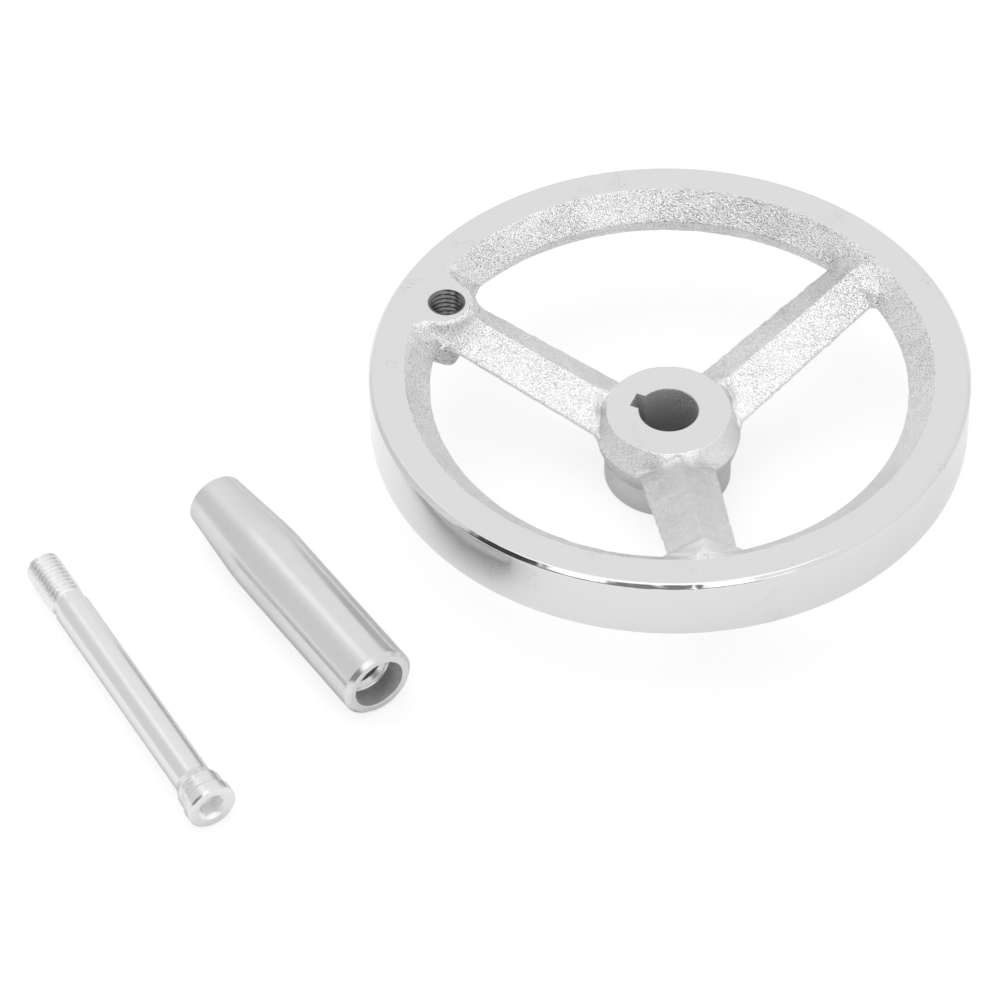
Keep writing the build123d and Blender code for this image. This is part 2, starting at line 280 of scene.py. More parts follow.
RIM_CORNERS = [
    (RIM_INSIDE_FRONT, RIM_FRONT, 0.25, 1.6, TURNED),
    (RIM_RADIUS - RIM_CHAMFER, RIM_FRONT, 0.95, 0.2, TURNED),
    (RIM_RADIUS, RIM_FRONT - RIM_CHAMFER, 0.75, 4.0, TURNED),
    (RIM_RADIUS, RIM_BACK + 0.5, 0.2, 0.2, TURNED),
    (RIM_RADIUS - 0.5, RIM_BACK, 0.2, 2.0, TURNED),
    (RIM_INSIDE_BACK, RIM_BACK, 0.5, 0.6, CAST),
    (WALL_BEND, WALL_BEND_UP, 5.0, 0.6, CAST),
    (PARTING_RIM, PARTING_RIM_UP, 0.35, 0.55, CAST),
]
# The register and the band above it take the darker zones: painted shade for the shadowed floor that
# they mirror.
HUB_CORNERS = [
    (BORE_RADIUS, 0.0, 0.0, 2.0, TURNED),
    (REGISTER_RADIUS - REGISTER_CHAMFER, 0.0, 0.1, 0.4, TURNED),
    (REGISTER_RADIUS, REGISTER_CHAMFER, 0.1, 2.0, PAINTED_SHADE_TURNED),
    (REGISTER_RADIUS, REGISTER_TOP, 0.0, 0.5, PAINTED_SHADE_AND_SEAT),
    (18.9, 13.0, 1.2, 0.5, PAINTED_SHADE_AND_SEAT),
    (PARTING_HUB, PARTING_HUB_UP, 0.3, 0.5, CAST),
    (HUB_FACE_RADIUS, HUB_FRONT, 0.2, 1.4, TURNED),
    (FACE_INSIDE, HUB_FRONT, 0.0, 0.7, TURNED),
    (BORE_RADIUS + BORE_CHAMFER, HUB_FRONT, 0.0, 0.3, BORED),
    (BORE_RADIUS, HUB_FRONT - BORE_CHAMFER, 0.0, 2.0, BORED),
]

print("rim width", round(RIM_FRONT - RIM_BACK, 1), "and dish", round(RIM_FRONT - HUB_FRONT, 1), "mm")

# %% [markdown]
# ### How near are the rim and the hub?
# A spoke rises into a hollow as it comes near the rim or the hub, so it has to know how far off
# they are. Both are round, so the question can be asked in the plane of radius and height, where
# it is the distance from a point to a polygon. That is much quicker than asking a mesh.

# %% Distance to rim and hub
def polygon_distance(points, corners):
    """Distance from points to a solid of revolution, below zero inside: the nearest side of its
    section is found in the plane of radius and height, and crossings of a ray give the sign."""
    radius = np.hypot(points[..., 0], points[..., 1])
    here = np.stack([radius, points[..., 2]], axis=-1)
    corner = np.array([c[:2] for c in corners], float)
    nearest = np.full(radius.shape, np.inf)
    inside = np.zeros(radius.shape, bool)
    for a, b in zip(corner, np.roll(corner, -1, axis=0)):
        side = b - a
        along = np.clip(((here - a) @ side) / np.dot(side, side), 0, 1)
        nearest = np.minimum(nearest, np.linalg.norm(here - a - along[..., None] * side, axis=-1))
        crosses = (a[1] > here[..., 1]) != (b[1] > here[..., 1])
        if b[1] != a[1]:
            at = a[0] + (here[..., 1] - a[1]) * (b[0] - a[0]) / (b[1] - a[1])
            inside ^= crosses & (here[..., 0] < at)
    return np.where(inside, -nearest, nearest)


def rim_distance(points):
    """Distance to the rim."""
    return polygon_distance(points, RIM_CORNERS)


def hub_distance(points):
    """Distance to the hub."""
    return polygon_distance(points, HUB_CORNERS)


print("the bore's axis is", hub_distance(np.array([[0.0, 0.0, 12.0]])).round(1), "mm off the hub")

# %% [markdown]
# ## A spoke's section
# A spoke has a ridge in front, with a slope down to each side, and a rounded back. A scaled
# cylinder would lose the ridge and the parting edges, so the section is written as four arcs with
# two slopes between them: the ridge's round, one small round at each side, and the back. The
# spoke leans forward from the hub to the rim and narrows on the way, so each arc has a value for
# each reach.

# %% Spoke section
RIDGE, RIDGE_ROUND, SIDE_ROUND = 5.9, 0.4, 0.8
RIDGE_LEVEL = RIM_FRONT - 0.3
SPREAD_SHARE = 0.3
RIDGE_POINTS, SLOPE_POINTS, SIDE_POINTS, BACK_POINTS = 6, 17, 7, 26
# At the hub and at the rim: half width, depth of the back, and height of the parting line.
SPOKE_ENDS = (10.2, 9.0), (3.6, 3.1), (17.8, PARTING_RIM_UP)


def spoke_size(reach):
    """Half width, depth of the back and height of the parting line, straight in the radius."""
    share = (reach - PARTING_HUB) / (PARTING_RIM - PARTING_HUB)
    return [at_hub + (at_rim - at_hub) * share for at_hub, at_rim in SPOKE_ENDS]


def section_arc(across, up, radius, start, stop, count):
    """Points on an arc round the centre (across, up), from one facing angle to another."""
    turn = start[:, None] + (stop - start)[:, None] * np.linspace(0, 1, count)
    radius = np.broadcast_to(radius, start.shape)[:, None]
    points = [across[:, None] + radius * np.cos(turn), up[:, None] + radius * np.sin(turn)]
    return np.stack(points, axis=-1)


def spoke_ring(reach, spread):
    """Points round the section at each reach, as distances across and up. Each arc goes by the
    angle that it faces, and the slopes are the tangents between the ridge and the sides."""
    width, depth, height = spoke_size(reach)
    side, depth = width + spread - SIDE_ROUND, depth + SPREAD_SHARE * spread
    crest = np.minimum(RIDGE + SPREAD_SHARE * spread, RIDGE_LEVEL - height) - RIDGE_ROUND
    facing = np.arccos((RIDGE_ROUND - SIDE_ROUND) / np.hypot(crest, side))
    facing -= np.arctan2(crest, side)
    round_back = (side ** 2 + depth ** 2 - SIDE_ROUND ** 2) / (2 * (depth - SIDE_ROUND))
    lean = np.arctan2(round_back - depth, side)
    zero, half, full = 0 * side, math.pi, 2 * math.pi
    top = section_arc(zero, crest, RIDGE_ROUND, facing, half - facing, RIDGE_POINTS)
    left = section_arc(-side, zero, SIDE_ROUND, half - facing, half + lean, SIDE_POINTS)
    back = section_arc(zero, round_back - depth, round_back, half + lean, full - lean, BACK_POINTS)
    right = section_arc(side, zero, SIDE_ROUND, full - lean, full + facing, SIDE_POINTS)
    share = np.linspace(0, 1, SLOPE_POINTS)[1:-1, None]
    left_slope = top[:, -1:] * (1 - share) + left[:, :1] * share
    right_slope = right[:, -1:] * (1 - share) + top[:, :1] * share
    ring = np.concatenate([top, left_slope, left, back[:, 1:-1], right, right_slope], axis=1)
    return ring[..., 0], ring[..., 1] + height[:, None]


print("a section has", spoke_ring(np.array([40.0]), 0.0)[0].size, "points")

# %% [markdown]
# ## How near is a spoke?
# Rim, hub and boss rise towards a spoke, so they have to know how far off it is. Measuring to a
# finished mesh would be slow and jagged. A formula for a plain bar of the spoke's width, depth and
# ridge is quick and near enough: its distance is the largest of the distances past its sides.

# %% Distance to a spoke, and the hollows
SPOKE_SPAN = 10, 75
BACK_SHARE, FAR = 0.9, 1e3


def spoke_distance(points, angle):
    """Distance to a spoke: the largest distance past its two slopes, its sides and its back."""
    local = turned_points(points, -angle)
    width, depth, height = spoke_size(np.clip(local[..., 0], *SPOKE_SPAN))
    across, up = np.abs(local[..., 1]), local[..., 2] - height
    ridge = np.minimum(RIDGE, RIDGE_LEVEL - height)
    slope = (across * ridge + up * width - ridge * width) / np.hypot(ridge, width)
    back = (across * depth - up * width - depth * width) / np.hypot(depth, width)
    gap = np.maximum(np.maximum(slope, back * BACK_SHARE), across - width)
    return np.where(local[..., 0] > 0, gap, FAR)


def any_spoke(points):
    """Distance to the nearest of the three spokes."""
    return np.min([spoke_distance(points, angle) for angle in SPOKE_ANGLES], axis=0)


def hollow(narrow, broad, start, over):
    """A hollow's reach by height: narrow in the window's corner, and broader from the start on,
    where it runs out in front."""
    return lambda points: narrow + (broad - narrow) * ramp(points[..., 2] - start, over)


HUB_HOLLOW = hollow(narrow=1.2, broad=5.2, start=19.6, over=2.6)
RIM_HOLLOW = hollow(narrow=2.0, broad=5.0, start=34.4, over=2.0)
BOSS_HOLLOW = hollow(narrow=1.2, broad=4.5, start=31.2, over=1.6)
window_middle = turned_points(np.array([45.0, 0.0, 28.0]), SPOKE_ANGLES[2] + math.pi / 3)
print("from a window's middle to a spoke:", round(float(any_spoke(window_middle)), 1), "mm")

# %% [markdown]
# ## The spokes
# Near its ends a spoke widens along a quarter of a circle, which is the round in the corner of
# each window. The sections are set along the bar every half millimetre, and the end rings shrink
# to a point inside the hub and the rim. Along its edges, where the two halves of the mould met, a
# casting keeps a ragged rest of flash, and its ridge is a little uneven too. It could be a bump
# texture, but then the outline would stay straight.

# %% Spoke surface
SPOKE_START, SPOKE_END, BOSS_SPOKE_END, SPOKE_STEP = 12.0, 69.0, 63.8, 0.5
ROOT_START, ROOT_ROUND, ROOT_LIMIT = 18.2, 3.0, 2.4
TIP_START, TIP_ROUND, TIP_LIMIT = 61.6, 1.2, 1.15
HOLE_CLEAR, CLOSED_AT = 6.0, 57.0
EDGE_FLASH, EDGE_FLASH_WIDTH, RIDGE_FLASH, RIDGE_FLASH_WIDTH = 0.10, 1.4, 0.05, 1.6
FLASH_START, FLASH_END, FLASH_EASE = 22.0, 60.0, 5.0
BELOW_FACE, FACE_END, FACE_RISE = 0.05, 17.4, 0.4


def flare(depth, radius, limit):
    """How far a quarter of a circle has come in at a depth, which is held at the limit."""
    depth = np.clip(depth, 0, limit)
    return radius - np.sqrt(radius ** 2 - depth ** 2)


def flash_height(reach, to_edge, to_ridge):
    """The flash's height along the parting edges, and a lower unevenness along the ridge. Both
    are left out near the spoke's ends, where they were ground off."""
    flash = EDGE_FLASH * ramp(EDGE_FLASH_WIDTH - to_edge, 1.0)
    flash = flash + RIDGE_FLASH * ramp(RIDGE_FLASH_WIDTH - to_ridge, 1.0)
    middle = ramp(reach - FLASH_START, FLASH_EASE) * ramp(FLASH_END - reach, FLASH_EASE)
    return flash * middle[:, None]


def faced(surface):
    """Nothing cast stands above the turned faces: heights are cut off level with hub and rim."""
    radius = np.hypot(surface[..., 0], surface[..., 1])
    level = HUB_FRONT - BELOW_FACE + FACE_RISE * np.clip(radius - FACE_END, 0, None)
    surface[..., 2] = np.minimum(surface[..., 2], np.minimum(level, RIM_FRONT - BELOW_FACE))
    return surface


def spoke_grid(angle):
    """A section at each step along the spoke. The spoke that carries the boss is shorter, and is
    held back on a circle, clear of the tapped hole."""
    carries_boss = angle == SPOKE_ANGLES[0]
    last = BOSS_SPOKE_END if carries_boss else SPOKE_END
    reach = np.arange(SPOKE_START, last, SPOKE_STEP)
    reach = np.concatenate([[SPOKE_START], reach, [last, last]])
    spread = flare(ROOT_START - reach, ROOT_ROUND, ROOT_LIMIT)
    spread = spread + flare(reach - TIP_START, TIP_ROUND, TIP_LIMIT)
    across, up = spoke_ring(reach, spread)
    width, _, middle = [size[:, None] for size in spoke_size(reach)]
    for end in (0, -1):
        across[end], up[end] = 0.0, middle[end]
    along = np.broadcast_to(reach[:, None], across.shape)
    neighbours = [(rim_distance, RIM_HOLLOW), (hub_distance, HUB_HOLLOW)]
    if carries_boss:
        clear = HOLE_REACH - np.sqrt(np.maximum(HOLE_CLEAR ** 2 - across ** 2, 0))
        along = np.where(np.abs(across) < HOLE_CLEAR, np.minimum(along, clear), along)
        along[-1] = CLOSED_AT
        neighbours.append((lambda at: boss_distance(turned_points(at, -angle)), BOSS_HOLLOW))
    surface = turned_points(np.stack([along, across, up], axis=-1), angle)
    outward = turned_points(np.stack([0 * across, across, up - middle], axis=-1), angle)
    normals = outward_normals(surface, False, outward)
    weight = np.ones((len(reach), 1))
    weight[[0, -1]] = 0.0
    to_edge = width + spread[:, None] - np.abs(across)
    flash = flash_height(reach, to_edge, np.abs(across)) * field(surface, RAGGED)
    surface = surface + normals * (weight * flash)[..., None]
    surface = faced(lifted(surface, normals, neighbours, weight))
    return surface, np.full(len(reach), CAST), False


print("a spoke takes", len(np.arange(SPOKE_START, SPOKE_END, SPOKE_STEP)) + 3, "sections")

# %% [markdown]
# ## The rim
# The rim is one profile carried round the axis. A torus would have no turned face and no parting
# edge. Its outer half is turned, so those rows stay exact circles. Its inner half swells like the
# rest of the casting and is lifted where a spoke comes near. Beside the boss the wall is pushed
# back, because the tapped hole passes there. The line where the tool ran out into the rough wall
# wavers a little, and years of use have left a few small notches in both front edges. These could
# be painted into the material, but in the mesh they catch the light by themselves.

# %% Worn and wavering edges
RIM_HEART, RIM_MIDDLE = 72.0, 30.0
TURNING_EASE = 0.8
CHAMFER_WAVER = 0.012
KNOCKS = (211, 10, 0.05), (262, 14, 0.02), (320, 8, 0.03)
EDGE_NOTCHES, EDGE_NOTCH_DEPTH = (120.0, 179.5, 189.0, 312.0), 0.16
CHAMFER_NOTCHES, CHAMFER_NOTCH_DEPTH = (206.2, 215.8, 262.8, 273.2), 0.07
NOTCH_WIDTH, NOTCH_HEART = 0.4, 75.0


def cast_weight(profile, zones, turned_top, turned_bottom):
    """How far each row may move: fully on cast rows, and not at all next to a turned face."""
    rough = (zones == CAST) | (zones == PAINTED_SHADE_AND_SEAT)
    rough &= np.roll(rough, 1)
    near_top = ramp(turned_top - profile[:, 1], TURNING_EASE)
    near_bottom = ramp(profile[:, 1] - turned_bottom, TURNING_EASE)
    return np.where(rough, near_top * near_bottom, 0.0)[:, None]


def waver(surface, rows, size, waves):
    """Rows moved to and fro along their radius, as where a tool ran out into the rough wall."""
    radial = surface[rows, :, :2] / np.linalg.norm(surface[rows, :, :2], axis=-1, keepdims=True)
    surface[rows, :, :2] += radial * (size * field(surface[rows], waves))[..., None]
    return surface


def knocked(angles):
    """How much the chamfer wavers in each direction: more where the wheel was knocked about.
    Each knock is its place and its width in degrees, and its size, and adds a bell curve."""
    bells = [size * np.exp(-((angles - math.radians(at)) / math.radians(wide)) ** 2)
             for at, wide, size in KNOCKS]
    return CHAMFER_WAVER + sum(bells)


def notched(surface, rows, places, depth):
    """Notches knocked into an edge: points move towards the middle of the section by
    depth x exp(-((turn - place) / width)^2), with turns in degrees."""
    edge = surface[rows]
    turn = np.degrees(np.arctan2(edge[..., 1], edge[..., 0])) % 360
    notch = sum(np.exp(-((turn - at) / NOTCH_WIDTH) ** 2) for at in places)
    outward = from_ring(edge, NOTCH_HEART, RIM_MIDDLE)
    outward /= np.linalg.norm(outward, axis=-1, keepdims=True)
    surface[rows] -= outward * (depth * notch)[..., None]
    return surface


print("notches:", len(EDGE_NOTCHES), "in the inner edge and", len(CHAMFER_NOTCHES), "in the chamfer")

# %% [markdown]
# ### The rim's surface
# Now the profile is carried round, lifted, and worn. The order matters: the lift goes first, since
# it needs the clean normals, and the wall beside the hole is pushed back last.

# %% Rim surface
RIM_STEPS, UNDER_SPOKE, EDGE_WAVER = 720, 0.94, 0.10
HOLE_WALL, HOLE_HALF, HOLE_EASE = 70.3, 6.8, 1.4


def opened_for_hole(surface, rows):
    """The inner wall pushed outwards beside the boss, so that the tapped hole passes it."""
    local = turned_points(surface, -SPOKE_ANGLES[0])
    x, y = local[..., 0], local[..., 1]
    push = np.clip(HOLE_WALL - x, 0, None) * ramp(HOLE_HALF - np.abs(y), HOLE_EASE) * (x > 0)
    local[..., 0] = x + push * rows[:, None]
    return turned_points(local, SPOKE_ANGLES[0])


def rim_grid():
    """The rim's profile round the axis, with its cast rows lifted and opened round the hole."""
    profile, zones = rounded_profile(RIM_CORNERS, arc_points=6)
    radius, height = profile.T
    angles = np.linspace(0, 2 * math.pi, RIM_STEPS, endpoint=False)
    surface = lathe(profile, angles)
    normals = outward_normals(surface, True, from_ring(surface, RIM_HEART, RIM_MIDDLE))
    weight = cast_weight(profile, zones, RIM_FRONT, RIM_BACK)
    surface = lifted(surface, normals, [(any_spoke, RIM_HOLLOW)], weight, UNDER_SPOKE)
    inner_edge = (radius < RIM_INSIDE_FRONT + 0.5) & (height > RIM_FRONT - 0.8)
    chamfer = (radius > RIM_RADIUS - 1.4) & (radius < RIM_RADIUS - 0.05)
    chamfer &= height > RIM_FRONT - 1.4
    surface = waver(surface, inner_edge, EDGE_WAVER, SWELL)
    surface = waver(surface, chamfer, knocked(angles), RAGGED)
    surface = notched(surface, inner_edge, EDGE_NOTCHES, EDGE_NOTCH_DEPTH)
    surface = notched(surface, chamfer, CHAMFER_NOTCHES, CHAMFER_NOTCH_DEPTH)
    return opened_for_hole(surface, radius < RIM_HEART), zones, True


wheel_rim = rim_grid()
print("the rim's grid is", wheel_rim[0].shape[:2])

# %% [markdown]
# ## The hub
# The hub is a profile round the axis too, with one thing more: the keyway. It could be cut by a
# boolean, but that leaves long thin faces. Seen along the bore, bore and keyway together are a
# line with one radius for each direction, so the inner rows take the larger of the bore's radius
# and the keyway's, and the faces close up to that line.

# %% Hub surface
HUB_STEPS, HUB_HEART, HUB_MIDDLE = 240, 12.0, 12.0
FACE_WAVER, KEYWAY_SPAN = 0.08, 0.5


def keyway_radius(angles):
    """Radius of the keyway's outline in each direction: its floor, or its side, if nearer."""
    turn = (angles - SPOKE_ANGLES[0] + math.pi) % (2 * math.pi) - math.pi
    floor = KEYWAY_FLOOR / np.maximum(np.cos(turn), 1e-3)
    side = KEYWAY_HALF / np.maximum(np.abs(np.sin(turn)), 1e-3)
    return np.where(np.abs(turn) < KEYWAY_SPAN, np.minimum(floor, side), 0.0)


def hub_angles():
    """Even steps round the bore, with more of them along the keyway's two sides."""
    even = np.linspace(0, 2 * math.pi, HUB_STEPS, endpoint=False)
    floor_corner = math.atan2(KEYWAY_HALF, KEYWAY_FLOOR)
    side = np.linspace(floor_corner, math.asin(KEYWAY_HALF / BORE_RADIUS), 8)
    steps = np.concatenate([even, side, -side])
    return np.unique((steps + SPOKE_ANGLES[0]) % (2 * math.pi))


def hub_grid():
    """The hub's profile round the axis; rows near the bore widen into the keyway."""
    profile, zones = rounded_profile(HUB_CORNERS)
    angles = hub_angles()
    surface = lathe(profile, angles)
    normals = outward_normals(surface, True, from_ring(surface, HUB_HEART, HUB_MIDDLE))
    weight = cast_weight(profile, zones, HUB_FRONT, REGISTER_TOP)
    surface = lifted(surface, normals, [(any_spoke, HUB_HOLLOW)], weight, UNDER_SPOKE)
    edge = (profile[:, 0] > HUB_FACE_RADIUS - 0.7) & (profile[:, 1] > HUB_FRONT - 0.6)
    surface = waver(surface, edge, FACE_WAVER, SWELL)
    inner = profile[:, 0] < FACE_INSIDE
    opening = np.maximum(BORE_RADIUS, keyway_radius(angles))
    share = (FACE_INSIDE - profile[inner, 0, None]) / (FACE_INSIDE - BORE_RADIUS)
    radius = FACE_INSIDE - (FACE_INSIDE - opening) * share
    surface[inner, :, 0] = radius * np.cos(angles)
    surface[inner, :, 1] = radius * np.sin(angles)
    return surface, zones, True


wheel_hub = hub_grid()
print("the hub's grid is", wheel_hub[0].shape[:2])

# %% [markdown]
# ## The handle boss
# The boss is round where it is turned off level with the rim, and squared behind, where the
# pattern was drawn. A cylinder stuck on the rim would show a hard seam. So its outline is one
# radius for each direction round the hole, found from the soft union of boss and rim, and it
# changes from the squared form to the round one with height.

# %% Boss outline
BOSS_RADIUS, BOSS_DRAFT, FACE_EDGE = 8.1, 0.11, 1.3
LUG_REACH, LUG_LONG, LUG_WIDE, LUG_ROUND = 64.8, 5.7, 9.4, 2.5
LUG_BACK, LUG_DRAFT, LUG_TOP, LUG_FADE = RIM_BACK + 4.0, 0.035, 31.4, 1.2
LUG_HOLLOW, FACE_HOLLOW, HOLLOW_FADE = 2.2, 6.2, 1.4
RAY_START, RAY_END, RAY_POINTS, OUTLINE_LIMIT = 0.3, 17.1, 169, 71.2


def wall_radius(height):
    """Radius of the rim's inner wall at a height: straight from the back over the parting edge."""
    heights = [RIM_BACK, WALL_BEND_UP, PARTING_RIM_UP, RIM_FRONT]
    return np.interp(height, heights, [RIM_INSIDE_BACK, WALL_BEND, PARTING_RIM, RIM_INSIDE_FRONT])


def boss_distance(points):
    """Distance to the boss in the plan, in the first spoke's own axes: to a circle with a
    rounded front edge, or lower down to a squared lug."""
    x, y, z = np.moveaxis(points, -1, 0)
    below = np.clip(RIM_FRONT - z, 0, 7)
    edge = np.sqrt(np.maximum(FACE_EDGE ** 2 - np.clip(FACE_EDGE - below, 0, None) ** 2, 0))
    draft = BOSS_DRAFT * np.clip(below - FACE_EDGE, 0, 7)
    round_gap = np.hypot(x - BOSS_REACH, y) - BOSS_RADIUS - edge - draft
    grow = LUG_DRAFT * (z - LUG_BACK) - LUG_ROUND
    side_x, side_y = np.abs(x - LUG_REACH) - LUG_LONG - grow, np.abs(y) - LUG_WIDE - grow
    corner = np.hypot(np.maximum(side_x, 0), np.maximum(side_y, 0))
    lug_gap = corner + np.minimum(np.maximum(side_x, side_y), 0) - LUG_ROUND
    share = ramp(z - LUG_TOP, LUG_FADE)
    return lug_gap * (1 - share) + round_gap * share


def soft_union(first, second, width):
    """The smaller of two distances, rounded off where they are within the width of each other."""
    mix = np.clip(0.5 + 0.5 * (second - first) / width, 0, 1)
    return second + (first - second) * mix - width * mix * (1 - mix)


def boss_outline(turn, height):
    """Where the boss and the rim's wall end, in each direction from a point inside the boss and
    at each height: the first place at which their soft union turns from inside to outside.
    Towards the rim it has no end, and the outline stops inside the metal."""
    out, step = np.linspace(RAY_START, RAY_END, RAY_POINTS, retstep=True)
    x = BOSS_HEART + out * np.cos(turn)[None, :, None]
    y = out * np.sin(turn)[None, :, None]
    z = height[:, None, None]
    points = np.stack(np.broadcast_arrays(x, y, z), axis=-1)
    width = LUG_HOLLOW + (FACE_HOLLOW - LUG_HOLLOW) * ramp(z - LUG_TOP, HOLLOW_FADE)
    gap = soft_union(boss_distance(points), wall_radius(z) - np.hypot(x, y), width)
    first = np.argmax(gap > 0, axis=-1)
    before = np.take_along_axis(gap, np.maximum(first - 1, 0)[..., None], -1)[..., 0]
    after = np.take_along_axis(gap, first[..., None], -1)[..., 0]
    edge = out[np.maximum(first - 1, 0)] + step * before / np.minimum(before - after, -1e-6)
    limit = np.sqrt(OUTLINE_LIMIT ** 2 - (BOSS_HEART * np.sin(turn)) ** 2)
    limit = limit - BOSS_HEART * np.cos(turn)
    reach = np.where(first > 0, np.minimum(edge, limit), limit)
    outline = [BOSS_HEART + reach * np.cos(turn), reach * np.sin(turn), height[:, None] + 0 * reach]
    return np.stack(outline, axis=-1)


print("the squared lug turns round from a height of", LUG_TOP, "mm")

# %% [markdown]
# ### The boss's surface
# The outside, the face and the wall behind the thread are one grid, which closes on itself. Its
# rows lie close together on the rounded edge of the face, where the light changes quickly. They
# could lie evenly, but then the edge would look cut.

# %% Boss surface
HOLE_FACE, BOSS_SHARE = 5.45, 0.97
UNDERSIDE_HEART, UNDERSIDE_EASE = 62.0, 0.02
# How far below the face the rows of its rounded edge lie.
EDGE_ROWS = 1.3, 1.1, 0.91, 0.73, 0.56, 0.41, 0.28, 0.17, 0.08, 0.02, 0.0


def circle_rows(rings, turn):
    """Rings round the hole's axis, each a tuple of radius and height."""
    radius, height = [part[:, None] for part in np.array(rings).T]
    ring = [HOLE_REACH + radius * np.cos(turn), radius * np.sin(turn), height + 0 * turn]
    return np.stack(ring, axis=-1)


def boss_turns():
    """Directions from the boss's heart, closest where the outline bends into the rim."""
    parts = [np.linspace(0, 38, 12), np.linspace(38.4, 86, 110), np.linspace(87.5, 180, 62)]
    half = np.concatenate(parts)
    return np.radians(np.concatenate([half, 360 - half[-2:0:-1]]))


def boss_grid():
    """Rows: up the outside, over the face to the hole, down behind the thread and underneath."""
    low, top = LUG_BACK, RIM_FRONT + 0.004
    sides = np.arange(low + 0.6, top - 1.5, 0.45)
    outside = np.concatenate([[low, low + 0.15], sides, top - np.array(EDGE_ROWS)])
    outer = boss_outline(boss_turns(), outside)
    outer[0, :, :2] += (np.array([UNDERSIDE_HEART, 0.0]) - outer[0, :, :2]) * UNDERSIDE_EASE
    seen = np.arctan2(outer[-1, :, 1], outer[-1, :, 0] - HOLE_REACH)
    inner = circle_rows([(HOLE_FACE, up) for up in (top, top - 2.0, low + 2.0, low)], seen)
    surface = turned_points(np.concatenate([outer, inner]), SPOKE_ANGLES[0])
    middle = turned_points(np.array([HOLE_REACH, 0.0, 0.0]), SPOKE_ANGLES[0])
    normals = outward_normals(surface, True, (surface - middle) * np.array([1, 1, 0]))
    rows = len(outer)
    weight = np.zeros((len(surface), 1))
    weight[1:rows, 0] = ramp(RIM_FRONT - outside[1:], 1.0)
    surface = lifted(surface, normals, [(any_spoke, BOSS_HOLLOW)], weight, BOSS_SHARE)
    zones = np.full(len(surface), CAST)
    # Below the lug's top the boss takes the darker cast zone: painted shade for the shadowed floor
    # that it mirrors.
    zones[:rows][outside < LUG_TOP] = PAINTED_SHADE_AND_SEAT
    zones[rows - 1:rows + 1] = TURNED
    return surface, zones, True


wheel_boss = boss_grid()
print("the boss's grid is", wheel_boss[0].shape[:2])

# %% [markdown]
# ### The thread in the hole
# The handle is screwed into the boss. The thread could be a screw modifier, but a true helix is
# simple to write: its radius depends on the height less the pitch times the turn. It is a second
# grid that lines the hole, with a chamfer at each end.

# %% Thread and tapped hole
PITCH, ROOT_RADIUS, THREAD_DEPTH, THREAD_STEP = 1.5, 4.9, 0.6, 0.11
LINING_STEPS, LINING_OUT, RIDGE_FADE = 160, 5.65, 0.3
MOUTH_CHAMFER, MOUTH_DEPTH = 0.2, 0.25


def thread_wave(along, turn):
    """0 at the root and 1 at the crest of a thread with a 60 degree flank and flat tips."""
    phase = (along / PITCH - turn / (2 * math.pi)) % 1.0
    return ramp(1.0 - np.abs(2.0 * phase - 1.0) - 0.10, 0.74)


def thread_grid():
    """A lining for the hole: a chamfer at each end, the helix between, and a hidden back."""
    low, top = LUG_BACK - 0.004, RIM_FRONT + 0.006
    turn = np.linspace(0, 2 * math.pi, LINING_STEPS, endpoint=False)
    depth = np.arange(0.0, top - low, THREAD_STEP)[:, None]
    to_end = np.minimum(depth, top - low - depth)
    ridge = THREAD_DEPTH * thread_wave(-depth, turn) * ramp(to_end, RIDGE_FADE)
    wall = ROOT_RADIUS - ridge + MOUTH_CHAMFER * ramp(MOUTH_DEPTH - to_end, MOUTH_DEPTH)
    bore = [HOLE_REACH + wall * np.cos(turn), wall * np.sin(turn), top - depth + 0 * wall]
    back = circle_rows([(LINING_OUT, low), (LINING_OUT, top)], turn)
    rows = np.concatenate([back[1:], np.stack(bore, axis=-1), back[:1]])
    zones = np.full(len(rows), BORED)
    zones[0], zones[-2:] = TURNED, CAST
    return turned_points(rows, SPOKE_ANGLES[0]), zones, True


tapped_hole = thread_grid()
print("the tapped hole's grid is", tapped_hole[0].shape[:2])

# %% [markdown]
# ### The three spokes
# The first spoke rises towards the boss as well, so the spokes are worked out only now that the
# boss's shape is known. They could be one spoke turned three times, but the swell is measured in
# space, so each gets its own skin.

# %% Three spokes
wheel_spokes = [spoke_grid(angle) for angle in SPOKE_ANGLES]
print("the spokes' grids are", [spoke[0].shape[:2] for spoke in wheel_spokes])

# %% [markdown]
# ## The sleeve
# The grip is a turned steel sleeve with a long soft taper. At its wide end a pocket takes the
# spindle's head, with a conical seat behind it, and a plain bore runs on from there. It is a
# profile carried round its own axis, here X. A cylinder with its bore cut by a boolean would
# need its rounds added afterwards, and the profile has them already.

# %% Sleeve along +X
SLEEVE_STEPS = 176
SLEEVE_LENGTH, SLEEVE_RADIUS, SLEEVE_TAIL, SLEEVE_BORE = 80.7, 10.1, 7.65, 5.15
POCKET_RADIUS, SEAT_START, SEAT_END = 7.15, 6.3, 7.7


def along_x(lengths, radii, turn):
    """A ring of the given radius at each length: rows follow the axis, columns go round it."""
    shape = (len(lengths), len(turn))
    lengths, radii = np.broadcast_to(lengths, shape), np.broadcast_to(radii, shape)
    return np.stack([lengths, radii * np.cos(turn), radii * np.sin(turn)], axis=-1)


